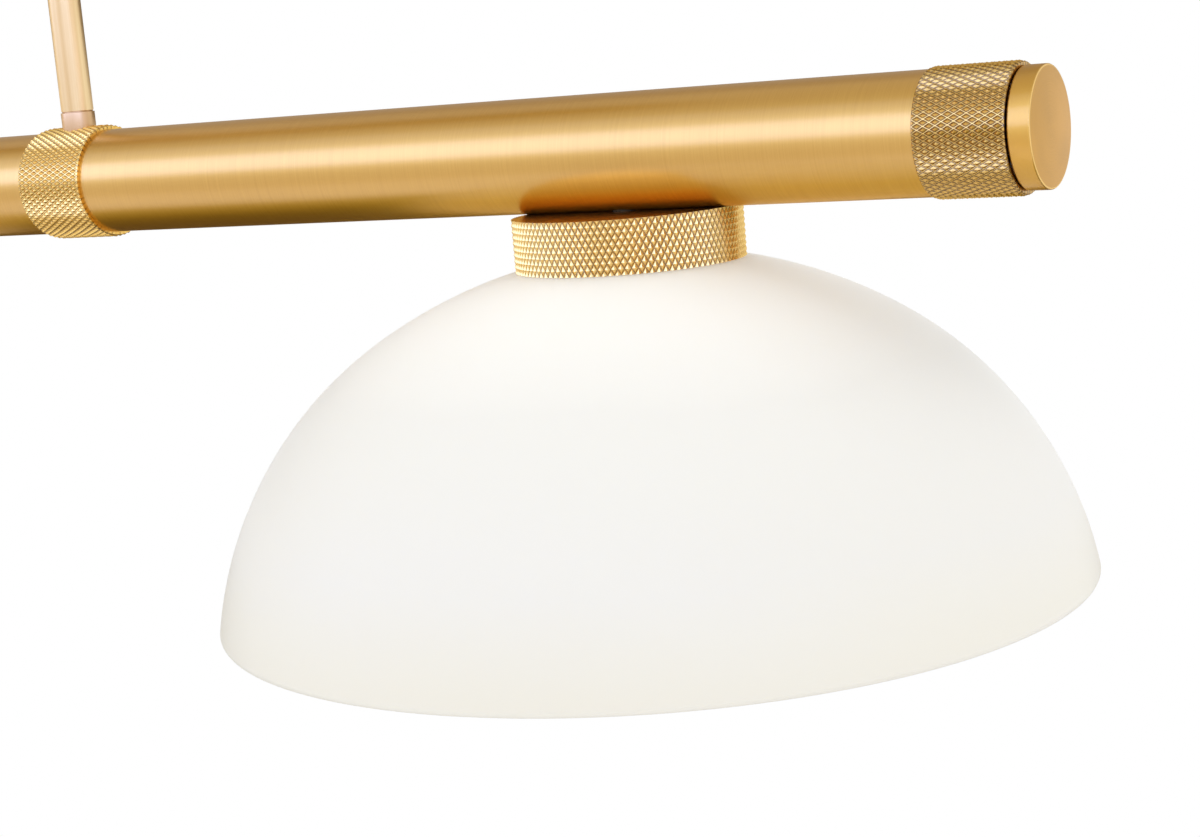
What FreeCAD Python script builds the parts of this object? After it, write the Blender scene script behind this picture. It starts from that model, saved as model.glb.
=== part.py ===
import FreeCAD, Part
import math
import os

import Sketcher

# Linear island pendant: a long brass bar on two down rods, with glass domes hung under it.
# The frame is in millimetres: the origin is on the ceiling at the canopy's centre, +Z is up,
# and X runs along the bar. Each light's own frame has its origin on the bar's axis above it.

DRIVING_SIZES = {
    # bar
    "bar_radius": 20.0,
    "bar_wall": 1.5,
    "bar_overhang": 113.6,
    "light_spacing": 560.0,
    "rod_inset": 246.0,
    # knurled sleeves round the bar where the rods stand
    "sleeve_radius": 22.0,
    "sleeve_length": 31.2,
    "sleeve_chamfer": 0.8,
    # ends of the bar
    "collar_radius": 20.9,
    "collar_length": 29.9,
    "collar_chamfer": 0.6,
    "collar_lip": 5.0,
    "plug_depth": 15.0,
    "cap_thread_radius": 10.0,
    "cap_thread_length": 12.0,
    "cap_neck_radius": 17.6,
    "cap_gap": 0.8,
    "cap_radius": 19.2,
    "cap_thickness": 6.8,
    "cap_chamfer": 0.8,
    # down rods
    "rod_radius": 6.25,
    "lower_rod_length": 300.0,
    "upper_rod_length": 150.0,
    "band_radius": 6.55,
    "ferrule_height": 8.0,
    "joint_band_length": 8.0,
    "stub_length": 12.0,
    "thread_radius": 5.0,
    "wire_bore_radius": 3.5,
    # hang-straight swivels
    "ball_radius": 10.0,
    "ball_drop": 14.0,
    "ball_neck_length": 13.0,
    "ball_neck_radius": 4.5,
    "ball_flange_length": 5.0,
    "ball_bore_radius": 2.5,
    "cup_radius": 14.0,
    "cup_mouth_drop": 5.5,
    "cup_plug_thickness": 3.3,
    # ceiling canopy and crossbar
    "canopy_end_margin": 46.0,
    "canopy_width": 120.0,
    "canopy_height": 25.0,
    "canopy_wall": 1.2,
    "canopy_corner_radius": 10.0,
    "canopy_edge_radius": 3.0,
    "crossbar_end_gap": 70.0,
    "crossbar_width": 36.0,
    "crossbar_thickness": 2.0,
    "crossbar_corner_radius": 6.0,
    "box_screw_spacing": 88.9,
    "box_slot_width": 4.6,
    "box_slot_length": 20.0,
    "anchor_inset": 20.0,
    "anchor_slot_width": 5.2,
    "anchor_slot_length": 14.0,
    "wire_hole_radius": 11.0,
    "stud_spacing": 260.0,
    "stud_radius": 2.5,
    "cap_nut_radius": 7.0,
    "cap_nut_height": 9.0,
    "cap_nut_chamfer": 1.5,
    "cap_nut_thread_length": 6.5,
    "ground_screw_offset": 70.0,
    "ground_screw_radius": 2.0,
    "ground_head_radius": 4.0,
    "ground_head_height": 2.6,
    # nuts and saddle washers
    "nut_across_flats": 14.0,
    "nut_height": 4.0,
    "saddle_thickness": 2.5,
    "saddle_length": 16.0,
    "saddle_width": 14.0,
    "nipple_protrusion": 1.5,
    # knurled fitter cap of each light
    "fitter_radius": 39.8,
    "fitter_wall": 2.0,
    "fitter_plate": 2.0,
    "fitter_chamfer": 0.8,
    "fitter_seat_chamfer": 1.6,
    # glass dome of each light
    "dome_rim_radius": 152.4,
    "dome_rim_drop": 152.2,
    "dome_crown_drop": 33.8,
    "dome_shoulder_angle": 31.5,
    "dome_rim_lean": 9.1,
    "dome_wall": 4.0,
    "dome_lip_radius": 1.9,
    "dome_hole_radius": 19.5,
    "dome_pad_margin": 0.5,
    # lamp socket, its shell, contact, gasket and ring
    "socket_neck_radius": 15.0,
    "socket_shoulder_radius": 25.0,
    "socket_shoulder_height": 4.0,
    "socket_thread_radius": 19.0,
    "socket_mouth_drop": 72.0,
    "socket_floor_drop": 42.0,
    "socket_bore_radius": 14.45,
    "socket_hub_depth": 8.0,
    "socket_wire_radius": 3.0,
    "shell_wall": 1.15,
    "shell_end_inset": 2.0,
    "shell_floor_inset": 4.0,
    "contact_radius": 5.0,
    "contact_height": 2.0,
    "contact_stem_length": 6.0,
    "gasket_radius": 24.5,
    "gasket_thickness": 1.5,
    "ring_flange_radius": 28.0,
    "ring_flange_height": 3.0,
    "ring_hub_radius": 23.0,
    "ring_height": 10.0,
    "ring_notch_radius": 2.0,
    # bulb
    "bulb_base_radius": 13.15,
    "bulb_base_wall": 1.0,
    "bulb_base_rim_height": 4.0,
    "bulb_button_radius": 4.7,
    "bulb_button_height": 2.0,
    "bulb_insulator_radius": 11.0,
    "bulb_insulator_height": 3.0,
    "bulb_neck_length": 15.0,
    "bulb_radius": 30.0,
    "bulb_centre_drop": 119.0,
    "bulb_shoulder_height": 12.0,
    "bulb_wall": 1.0,
    # clearances
    "slip_fit": 0.05,
    "turn_fit": 0.08,
    "moving_gap": 0.1,
    "hole_clearance": 0.2,
    "glass_gap": 0.25,
}

LIGHT_COUNT = 3
SIDES = {"left": -1, "right": 1}
RING_NOTCH_COUNT = 12
FULL_TURN = 360
HALF_TURN = 180
SEAT_TOLERANCE = 1e-6

# Levels down the pendant, as expressions of the sheet's cells. The canopy's underside comes
# first, and each level below hangs from the one above it.
CANOPY_BASE = "(-sizes.canopy_height)"
BALL_CENTRE = f"({CANOPY_BASE} - sizes.ball_drop)"
ROD_TOP = f"({BALL_CENTRE} - sizes.ball_neck_length - sizes.ball_flange_length)"
JOINT_TOP = f"({ROD_TOP} - sizes.upper_rod_length)"
FERRULE_TOP = f"({JOINT_TOP} - sizes.joint_band_length - sizes.lower_rod_length)"
BAR_LEVEL = f"({FERRULE_TOP} - sizes.ferrule_height - sizes.bar_radius)"

# Places along the bar, counted from its middle: the outer lights, the bar's ends, the rods,
# the ends of the canopy above the rods and the ends of the crossbar inside it.
OUTER_LIGHT = f"(sizes.light_spacing * {(LIGHT_COUNT - 1) / 2})"
BAR_HALF = f"({OUTER_LIGHT} + sizes.bar_overhang)"
ROD_PLACE = f"({OUTER_LIGHT} - sizes.rod_inset)"
CANOPY_HALF = f"({ROD_PLACE} + sizes.canopy_end_margin)"
CROSSBAR_HALF = f"({CANOPY_HALF} - sizes.crossbar_end_gap)"
BAR_BORE = "(sizes.bar_radius - sizes.bar_wall)"

# The glass is turned from two arcs: a crown arc from its top down to the shoulder, and a
# tangent skirt arc from there to the rim. Each radius follows from the rim's radius, the
# glass's depth and the two directions in which the glass faces, from straight up.
SHOULDER = "(sizes.dome_shoulder_angle * 1deg)"
RIM = "((90 - sizes.dome_rim_lean) * 1deg)"
CROWN_RISE = f"(1 - cos({SHOULDER}))"
CROWN_REACH = f"sin({SHOULDER})"
SKIRT_RISE = f"(cos({SHOULDER}) - cos({RIM}))"
SKIRT_REACH = f"(sin({RIM}) - sin({SHOULDER}))"
DOME_DEPTH = "(sizes.dome_rim_drop - sizes.dome_crown_drop)"
ARC_SHARE = f"({CROWN_REACH} * {SKIRT_RISE} - {CROWN_RISE} * {SKIRT_REACH})"
CROWN_RADIUS = (f"(({SKIRT_RISE} * sizes.dome_rim_radius - {SKIRT_REACH} * {DOME_DEPTH})"
                f" / {ARC_SHARE})")
SKIRT_RADIUS = (f"(({CROWN_REACH} * {DOME_DEPTH} - {CROWN_RISE} * sizes.dome_rim_radius)"
                f" / {ARC_SHARE})")


def crown_fall(radius, across):
    """How far a sphere's surface has fallen from its top, at a distance from the axis."""
    return f"({radius} - sqrt(pow({radius}; 2) - pow({across}; 2)))"


# Levels below the bar's axis inside one light. The clamp's flat pad on the glass is ground
# just deep enough to seat the gasket below, and the fitter cap ends just above the glass.
FITTER_TOP = "(-sizes.bar_radius)"
FITTER_PLATE_BASE = f"({FITTER_TOP} - sizes.fitter_plate)"
FITTER_SEAT = "(sizes.fitter_radius - sizes.fitter_wall + sizes.fitter_seat_chamfer)"
FITTER_RIM = f"(sizes.glass_gap - sizes.dome_crown_drop - {crown_fall(CROWN_RADIUS, FITTER_SEAT)})"
INNER_CROWN_RADIUS = f"({CROWN_RADIUS} - sizes.dome_wall)"
PAD_RADIUS = "(sizes.gasket_radius + sizes.dome_pad_margin)"
PAD_TOP = f"(-sizes.dome_crown_drop - {crown_fall(INNER_CROWN_RADIUS, PAD_RADIUS)})"
PAD_BASE = f"({PAD_TOP} - sizes.dome_wall)"
GASKET_BASE = f"({PAD_BASE} - sizes.slip_fit - sizes.gasket_thickness)"
RING_TOP = f"({GASKET_BASE} - sizes.moving_gap)"
SOCKET_MOUTH = "(-sizes.socket_mouth_drop)"
SOCKET_FLOOR = "(-sizes.socket_floor_drop)"
BULB_TIP = f"({SOCKET_FLOOR} - sizes.contact_height - sizes.moving_gap)"

doc = FreeCAD.newDocument("linear_island_pendant")
sheet = doc.addObject("Spreadsheet::Sheet", "sizes")
for row, (alias, size) in enumerate(DRIVING_SIZES.items(), start=1):
    sheet.set(f"A{row}", alias)
    sheet.set(f"B{row}", str(size))
    sheet.setAlias(f"B{row}", alias)
doc.recompute()

subparts = []


def value(expression):
    """The number that an expression of the sheet's cells stands for."""
    return float(sheet.evalExpression(expression))


def bind(target, **expressions):
    """Tie each named property of a feature to an expression of the sheet's cells."""
    for name, expression in expressions.items():
        target.setExpression(name, expression)


def place(target, x="0", z="0", turn=None):
    """Put an object at x and z, turned first about the axis and angle in turn, if given."""
    if turn:
        axis, angle = turn
        target.Placement.Rotation = FreeCAD.Rotation(FreeCAD.Vector(*axis), angle)
    target.setExpression(".Placement.Base.x", x)
    target.setExpression(".Placement.Base.z", z)


def keep(target, label):
    """Count an object as one of the pendant's sub-parts, under the name of its node."""
    target.Label = label
    subparts.append(target)
    return target


def new_body(label, kept=True):
    """An empty body, counted as a sub-part under its label unless it joins a group."""
    body = doc.addObject("PartDesign::Body", f"body_{label}")
    return keep(body, label) if kept else body


def new_sketch(body, plane, name):
    """A sketch on one of the body's own origin planes."""
    sketch = body.newObject("Sketcher::SketchObject", name)
    support = next(item for item in body.Origin.OriginFeatures if item.Role == plane)
    sketch.AttachmentSupport = [(support, "")]
    sketch.MapMode = "FlatFace"
    return sketch


def fix(sketch, kind, point, expression):
    """Hold one coordinate of a sketch point at an expression, measured from the origin."""
    geometry, corner = point
    if expression == "0":
        axis = -2 if kind == "DistanceX" else -1
        sketch.addConstraint(Sketcher.Constraint("PointOnObject", geometry, corner, axis))
        return
    number = value(expression)
    index = sketch.addConstraint(Sketcher.Constraint(kind, -1, 1, geometry, corner, number))
    sketch.setExpression(f"Constraints[{index}]", expression)


def draw_outline(sketch, points):
    """Draw a closed outline through points, each a pair of expressions.

    A side whose two ends share an expression is held upright or level, and every other
    corner is held at its own distance from the origin.
    """
    first = sketch.GeometryCount
    corners = [FreeCAD.Vector(value(across), value(up), 0) for across, up in points]
    for index, corner in enumerate(corners):
        following = corners[(index + 1) % len(corners)]
        sketch.addGeometry(Part.LineSegment(corner, following), False)
    for index in range(len(points)):
        following = first + (index + 1) % len(points)
        sketch.addConstraint(Sketcher.Constraint("Coincident", first + index, 2, following, 1))
    for index, (across, up) in enumerate(points):
        line = first + index
        shares_across = index > 0 and points[index - 1][0] == across
        shares_up = index > 0 and points[index - 1][1] == up
        if shares_across and across != "0":
            sketch.addConstraint(Sketcher.Constraint("Vertical", line - 1))
        else:
            fix(sketch, "DistanceX", (line, 1), across)
        if shares_up and up != "0":
            sketch.addConstraint(Sketcher.Constraint("Horizontal", line - 1))
        else:
            fix(sketch, "DistanceY", (line, 1), up)


def draw_rectangle(sketch, half_length, half_width):
    """Draw a rectangle centred on the sketch's origin."""
    draw_outline(sketch, [
        (f"(-{half_length})", f"(-{half_width})"), (half_length, f"(-{half_width})"),
        (half_length, half_width), (f"(-{half_length})", half_width)])


def draw_circle(sketch, radius, across="0", up="0"):
    """Draw a circle of the given radius about a centre, all given as expressions."""
    centre = FreeCAD.Vector(value(across), value(up), 0)
    circle = Part.Circle(centre, FreeCAD.Vector(0, 0, 1), value(radius))
    index = sketch.addGeometry(circle, False)
    fix(sketch, "DistanceX", (index, 3), across)
    fix(sketch, "DistanceY", (index, 3), up)
    number = sketch.addConstraint(Sketcher.Constraint("Radius", index, value(radius)))
    sketch.setExpression(f"Constraints[{number}]", radius)


def draw_slot(sketch, length, width, across):
    """Draw a round-ended slot along the sketch's first axis, centred at across."""
    reach = f"(({length} - {width}) / 2)"
    low, high = f"({across} - {reach})", f"({across} + {reach})"
    radius = value(f"({width}) / 2")
    start, end = value(low), value(high)
    up = FreeCAD.Vector(0, 0, 1)
    left = Part.Circle(FreeCAD.Vector(start, 0, 0), up, radius)
    right = Part.Circle(FreeCAD.Vector(end, 0, 0), up, radius)
    quarter = math.pi / 2
    first = sketch.addGeometry(Part.ArcOfCircle(left, quarter, 3 * quarter), False)
    sketch.addGeometry(
        Part.LineSegment(FreeCAD.Vector(start, -radius, 0), FreeCAD.Vector(end, -radius, 0)), False)
    sketch.addGeometry(Part.ArcOfCircle(right, -quarter, quarter), False)
    sketch.addGeometry(
        Part.LineSegment(FreeCAD.Vector(end, radius, 0), FreeCAD.Vector(start, radius, 0)), False)
    for index in range(4):
        following = first + (index + 1) % 4
        sketch.addConstraint(Sketcher.Constraint("Tangent", first + index, 2, following, 1))
    sketch.addConstraint(Sketcher.Constraint("Equal", first, first + 2))
    fix(sketch, "DistanceX", (first, 3), low)
    fix(sketch, "DistanceY", (first, 3), "0")
    fix(sketch, "DistanceX", (first + 2, 3), high)
    sketch.addConstraint(Sketcher.Constraint("PointOnObject", first + 2, 3, -1))
    number = sketch.addConstraint(Sketcher.Constraint("Radius", first, radius))
    sketch.setExpression(f"Constraints[{number}]", f"{width} / 2")


def revolve(body, sketch, axis):
    """Turn a sketch a full turn about one of its own axes."""
    turned = body.newObject("PartDesign::Revolution", "turned")
    turned.Profile = sketch
    turned.ReferenceAxis = (sketch, [axis])
    turned.Angle = FULL_TURN
    return turned


def turned_body(label, points, axis="V_Axis", kept=True):
    """A body turned from one outline: radius and height, or length and radius on H_Axis."""
    body = new_body(label, kept)
    sketch = new_sketch(body, "XZ_Plane", "section")
    draw_outline(sketch, points)
    revolve(body, sketch, axis)
    return body


def pocket_through(body, sketch, depth, upward=False):
    """Cut a sketch into the body over a depth, and make sure that it took material away."""
    doc.recompute()
    before = body.Tip.Shape.Volume
    pocket = body.newObject("PartDesign::Pocket", "pocket")
    pocket.Profile = sketch
    pocket.Reversed = upward
    bind(pocket, Length=depth)
    doc.recompute()
    if not pocket.Shape.Volume < before - SEAT_TOLERANCE:
        raise ValueError(f"{body.Label}: a pocket removed nothing")
    return pocket


def cylinder(radius, height, base="0", name="cylinder"):
    """An upright cylinder about the local Z axis, starting at the level base."""
    solid = doc.addObject("Part::Cylinder", name)
    bind(solid, Radius=radius, Height=height)
    solid.setExpression(".Placement.Base.z", base)
    return solid


def lying_cylinder(radius, length, name="lying_cylinder"):
    """A cylinder along the local X axis, centred on the origin."""
    solid = doc.addObject("Part::Cylinder", name)
    bind(solid, Radius=radius, Height=length)
    solid.Placement.Rotation = FreeCAD.Rotation(FreeCAD.Vector(0, 1, 0), 90)
    solid.setExpression(".Placement.Base.x", f"-({length}) / 2")
    return solid


def fuse(pieces, name="fused"):
    """One solid from several that meet or overlap."""
    joined = doc.addObject("Part::MultiFuse", name)
    joined.Shapes = pieces
    joined.Refine = True
    return joined


def cut(base, tool, name="cut"):
    """The base with the tool's space taken out of it."""
    result = doc.addObject("Part::Cut", name)
    result.Base = base
    result.Tool = tool
    return result


def group(pieces, label):
    """Identical loose fasteners as one node of separate solids."""
    together = doc.addObject("Part::Compound", f"group_{label}")
    together.Links = pieces
    return keep(together, label)


def light_place(index):
    """Where a light stands along the bar, counted from the left."""
    return f"(sizes.light_spacing * {index - (LIGHT_COUNT - 1) / 2})"


def make_main_tube():
    """The bar: a straight tube with a nipple hole under it per light and over it per rod."""
    body = new_body("main_tube")
    section = new_sketch(body, "YZ_Plane", "section")
    draw_circle(section, "sizes.bar_radius")
    draw_circle(section, BAR_BORE)
    pad = body.newObject("PartDesign::Pad", "pad")
    pad.Profile = section
    pad.Midplane = True
    bind(pad, Length=f"2 * {BAR_HALF}")
    hole = "sizes.thread_radius + sizes.hole_clearance"
    under = new_sketch(body, "XY_Plane", "light_holes")
    for index in range(LIGHT_COUNT):
        draw_circle(under, hole, light_place(index))
    pocket_through(body, under, "sizes.bar_radius")
    over = new_sketch(body, "XY_Plane", "rod_holes")
    for side in SIDES.values():
        draw_circle(over, hole, f"({side} * {ROD_PLACE})")
    pocket_through(body, over, "sizes.bar_radius", upward=True)
    place(body, z=BAR_LEVEL)


def make_sleeves():
    """The sleeves round the bar under the rods, each with a hole in its top for the ferrule."""
    bore = "(sizes.bar_radius + sizes.slip_fit)"
    outer = "sizes.sleeve_radius"
    edge = f"({outer} - sizes.sleeve_chamfer)"
    half = "(sizes.sleeve_length / 2)"
    inset = f"({half} - sizes.sleeve_chamfer)"
    for side_name, side in SIDES.items():
        body = turned_body(f"rod_sleeve_{side_name}", [
            (f"(-{half})", bore), (half, bore), (half, edge), (inset, outer),
            (f"(-{inset})", outer), (f"(-{half})", edge)], "H_Axis")
        opening = new_sketch(body, "XY_Plane", "ferrule_hole")
        draw_circle(opening, "sizes.band_radius + sizes.slip_fit")
        pocket_through(body, opening, f"{outer} + sizes.slip_fit", upward=True)
        place(body, f"{side} * {ROD_PLACE}", BAR_LEVEL)


def make_bar_ends():
    """The plug, knurled collar and round cap that close each end of the bar."""
    plugs = []
    length = "sizes.collar_length"
    shelf = f"({length} - sizes.collar_lip)"
    outer = "sizes.collar_radius"
    edge = f"({outer} - sizes.collar_chamfer)"
    lip_hole = "(sizes.cap_thread_radius + sizes.hole_clearance)"
    plug_start = "(-sizes.plug_depth)"
    plug_end = f"({shelf} - sizes.slip_fit)"
    plug_radius = f"({BAR_BORE} - sizes.slip_fit)"
    thread = "(sizes.cap_thread_radius - sizes.slip_fit)"
    thread_end = f"({length} - sizes.cap_thread_length)"
    back = f"({length} + sizes.cap_gap)"
    face = f"({back} + sizes.cap_thickness)"
    for side_name, side in SIDES.items():
        collar = turned_body(f"end_collar_{side_name}", [
            ("0", BAR_BORE), ("0", edge), ("sizes.collar_chamfer", outer),
            (f"({length} - sizes.collar_chamfer)", outer), (length, edge), (length, lip_hole),
            (shelf, lip_hole), (shelf, BAR_BORE)], "H_Axis")
        plug = turned_body(f"end_plug_{side_name}", [
            (plug_start, "sizes.cap_thread_radius"), (plug_start, plug_radius),
            (plug_end, plug_radius), (plug_end, "sizes.cap_thread_radius")], "H_Axis", kept=False)
        round_cap = turned_body(f"end_cap_{side_name}", [
            (thread_end, "0"), (thread_end, thread), (length, thread),
            (length, "sizes.cap_neck_radius"), (back, "sizes.cap_neck_radius"),
            (back, "sizes.cap_radius"), (f"({face} - sizes.cap_chamfer)", "sizes.cap_radius"),
            (face, "(sizes.cap_radius - sizes.cap_chamfer)"), (face, "0")], "H_Axis")
        turn = ((0, 0, 1), HALF_TURN) if side < 0 else None
        for piece in (collar, plug, round_cap):
            place(piece, f"{side} * {BAR_HALF}", BAR_LEVEL, turn)
        plugs.append(plug)
    group(plugs, "end_plugs")


def make_rods():
    """Each down rod: ferrule, lower section, threaded joint with its band, upper section."""
    bore = "sizes.thread_radius"
    thread = "(sizes.thread_radius - sizes.slip_fit)"
    ferrule_length = "sizes.ferrule_height + sizes.bar_radius"
    lower_top = f"({JOINT_TOP} - sizes.joint_band_length)"
    band = "(-sizes.joint_band_length)"
    stub_end = f"({band} - sizes.stub_length)"
    joints = []
    for side_name, side in SIDES.items():
        across = f"{side} * {ROD_PLACE}"
        sleeve = cylinder("sizes.band_radius", ferrule_length)
        hollow = cylinder(bore, ferrule_length)
        bar_space = lying_cylinder("sizes.bar_radius + sizes.slip_fit", "4 * sizes.band_radius")
        ferrule = keep(cut(cut(sleeve, hollow), bar_space), f"rod_ferrule_{side_name}")
        place(ferrule, across, BAR_LEVEL)
        for section, length, top in (("lower", "sizes.lower_rod_length", lower_top),
                                     ("upper", "sizes.upper_rod_length", ROD_TOP)):
            rod = turned_body(f"rod_{section}_{side_name}", [
                (bore, "0"), ("sizes.rod_radius", "0"),
                ("sizes.rod_radius", f"(-{length})"), (bore, f"(-{length})")])
            place(rod, across, top)
        joint = turned_body(f"rod_joint_{side_name}", [
            ("sizes.wire_bore_radius", "sizes.stub_length"), (thread, "sizes.stub_length"),
            (thread, "0"), ("sizes.band_radius", "0"), ("sizes.band_radius", band),
            (thread, band), (thread, stub_end), ("sizes.wire_bore_radius", stub_end)], kept=False)
        place(joint, across, JOINT_TOP)
        joints.append(joint)
    group(joints, "rod_joints")


def make_swivels():
    """The hang-straight swivels: each a ball on its hollow stem, in a cup that holds it."""
    flange_top = "(-sizes.ball_neck_length)"
    flange_base = f"({flange_top} - sizes.ball_flange_length)"
    stub_base = f"({flange_base} - sizes.stub_length)"
    mouth = "(-sizes.cup_mouth_drop)"
    seat_radius = "sizes.ball_radius + sizes.turn_fit"
    cups = []
    for side_name, side in SIDES.items():
        across = f"{side} * {ROD_PLACE}"
        sphere = doc.addObject("Part::Sphere", "ball_sphere")
        bind(sphere, Radius="sizes.ball_radius")
        neck = cylinder("sizes.ball_neck_radius", "sizes.ball_neck_length", flange_top)
        flange = cylinder("sizes.band_radius", "sizes.ball_flange_length", flange_base)
        stub = cylinder("sizes.thread_radius - sizes.slip_fit", "sizes.stub_length", stub_base)
        bore = cylinder("sizes.ball_bore_radius", f"sizes.ball_radius - {stub_base}", stub_base)
        ball = keep(cut(fuse([sphere, neck, flange, stub]), bore), f"swivel_ball_{side_name}")
        place(ball, across, BALL_CENTRE)
        shell = cylinder("sizes.cup_radius", "sizes.ball_drop + sizes.cup_mouth_drop", mouth)
        seat = doc.addObject("Part::Sphere", "ball_seat")
        bind(seat, Radius=seat_radius)
        way_in = cylinder(seat_radius, "sizes.ball_drop")
        cup = cut(shell, fuse([seat, way_in]))
        place(cup, across, BALL_CENTRE)
        cups.append(cup)
    group(cups, "swivel_cups")


def threaded_tube(length, base, name):
    """A hollow nipple that starts at the level base, threaded all along its outside."""
    outer = cylinder("sizes.thread_radius - sizes.slip_fit", length, base)
    inner = cylinder("sizes.wire_bore_radius", length, base)
    return cut(outer, inner, name)


def hex_nut(base, name):
    """A hexagonal lock nut on the local Z axis, resting at the level base."""
    blank = doc.addObject("Part::Prism", f"{name}_blank")
    blank.Polygon = 6
    bind(blank, Circumradius="sizes.nut_across_flats / sqrt(3)", Height="sizes.nut_height")
    blank.setExpression(".Placement.Base.z", base)
    return cut(blank, cylinder("sizes.thread_radius", "sizes.nut_height", base), name)


def make_swivel_fasteners():
    """The flanged nipple that closes each cup and holds it up, and its lock nut."""
    nipples, nuts = [], []
    for side in SIDES.values():
        flange_base = f"({CANOPY_BASE} - sizes.cup_plug_thickness)"
        stem = "sizes.canopy_wall + sizes.nut_height + sizes.nipple_protrusion"
        flange = cylinder("sizes.ball_radius + sizes.turn_fit - sizes.slip_fit",
                          "sizes.cup_plug_thickness", flange_base)
        shank = cylinder("sizes.thread_radius - sizes.slip_fit", stem, CANOPY_BASE)
        bore = cylinder("sizes.wire_bore_radius", f"sizes.cup_plug_thickness + {stem}", flange_base)
        nipple = cut(fuse([flange, shank]), bore, "swivel_nipple")
        nut = hex_nut(f"({CANOPY_BASE} + sizes.canopy_wall)", "swivel_nut")
        for piece, kept in ((nipple, nipples), (nut, nuts)):
            piece.setExpression(".Placement.Base.x", f"{side} * {ROD_PLACE}")
            kept.append(piece)
    group(nipples, "swivel_nipples")
    group(nuts, "swivel_lock_nuts")


def make_saddle(name):
    """A washer on the tube's inner wall, curved below and flat above for its nut."""
    block = doc.addObject("Part::Box", f"{name}_block")
    bind(block, Length="sizes.saddle_length", Width="sizes.saddle_width",
         Height=f"2 * sizes.saddle_thickness")
    block.setExpression(".Placement.Base.x", "-sizes.saddle_length / 2")
    block.setExpression(".Placement.Base.y", "-sizes.saddle_width / 2")
    block.setExpression(".Placement.Base.z", f"-{BAR_BORE} - sizes.saddle_thickness")
    wall = lying_cylinder(f"{BAR_BORE} - sizes.slip_fit", "2 * sizes.saddle_length")
    curved = doc.addObject("Part::Common", f"{name}_curved")
    curved.Base = block
    curved.Tool = wall
    hole = cylinder("sizes.thread_radius + sizes.hole_clearance", BAR_BORE, f"-{BAR_BORE}")
    return cut(curved, hole, name)


def make_bar_fasteners():
    """The nipples, saddle washers and lock nuts that hold the rods and lights to the bar."""
    seat = f"(-{BAR_BORE} + sizes.saddle_thickness)"
    nut_end = f"({seat} + sizes.nut_height + sizes.nipple_protrusion)"
    places = [(f"{side} * {ROD_PLACE}", True) for side in SIDES.values()]
    places += [(light_place(index), False) for index in range(LIGHT_COUNT)]
    kept = {"stem_nipples": [], "light_nipples": [], "saddle_washers": [], "lock_nuts": []}
    for across, upward in places:
        if upward:
            reach = "(sizes.bar_radius + sizes.ferrule_height + sizes.stub_length)"
        else:
            reach = f"(-{FITTER_PLATE_BASE} + sizes.socket_hub_depth - sizes.slip_fit)"
        nipple = threaded_tube(f"{nut_end} + {reach}", f"-{reach}", "nipple")
        kept["stem_nipples" if upward else "light_nipples"].append(nipple)
        saddle = make_saddle("saddle")
        kept["saddle_washers"].append(saddle)
        nut = hex_nut(seat, "nut")
        kept["lock_nuts"].append(nut)
        for piece in (nipple, saddle, nut):
            place(piece, across, BAR_LEVEL, ((1, 0, 0), HALF_TURN) if upward else None)
    for label, pieces in kept.items():
        group(pieces, label)


def round_corners(body, pad, radius):
    """Round the four upright edges of a plate."""
    doc.recompute()
    upright = [f"Edge{number}" for number, edge in enumerate(pad.Shape.Edges, start=1)
               if abs(edge.tangentAt(edge.FirstParameter).z) > 0.9]
    corners = body.newObject("PartDesign::Fillet", "corners")
    corners.Base = (pad, upright)
    bind(corners, Radius=radius)
    return corners


def make_canopy():
    """The pressed sheet box against the ceiling, open at its top, with its four holes."""
    body = new_body("canopy")
    outline = new_sketch(body, "XY_Plane", "outline")
    draw_rectangle(outline, CANOPY_HALF, "(sizes.canopy_width / 2)")
    pad = body.newObject("PartDesign::Pad", "pad")
    pad.Profile = outline
    pad.Reversed = True
    bind(pad, Length="sizes.canopy_height")
    corners = round_corners(body, pad, "sizes.canopy_corner_radius")
    doc.recompute()
    base_level = value(CANOPY_BASE)
    low = [f"Edge{number}" for number, edge in enumerate(corners.Shape.Edges, start=1)
           if abs(edge.BoundBox.ZMax - base_level) < SEAT_TOLERANCE]
    rounding = body.newObject("PartDesign::Fillet", "rounding")
    rounding.Base = (corners, low)
    bind(rounding, Radius="sizes.canopy_edge_radius")
    doc.recompute()
    top = next(f"Face{number}" for number, face in enumerate(rounding.Shape.Faces, start=1)
               if abs(face.BoundBox.ZMin) < SEAT_TOLERANCE)
    hollow = body.newObject("PartDesign::Thickness", "hollow")
    hollow.Base = (rounding, [top])
    hollow.Reversed = True
    bind(hollow, Value="sizes.canopy_wall")
    holes = new_sketch(body, "XY_Plane", "holes")
    for side in (-1, 1):
        draw_circle(holes, "sizes.thread_radius + sizes.hole_clearance", f"({side} * {ROD_PLACE})")
        draw_circle(holes, "sizes.stud_radius + sizes.hole_clearance",
                    f"({side} * sizes.stud_spacing / 2)")
    pocket_through(body, holes, "2 * sizes.canopy_height")


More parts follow.
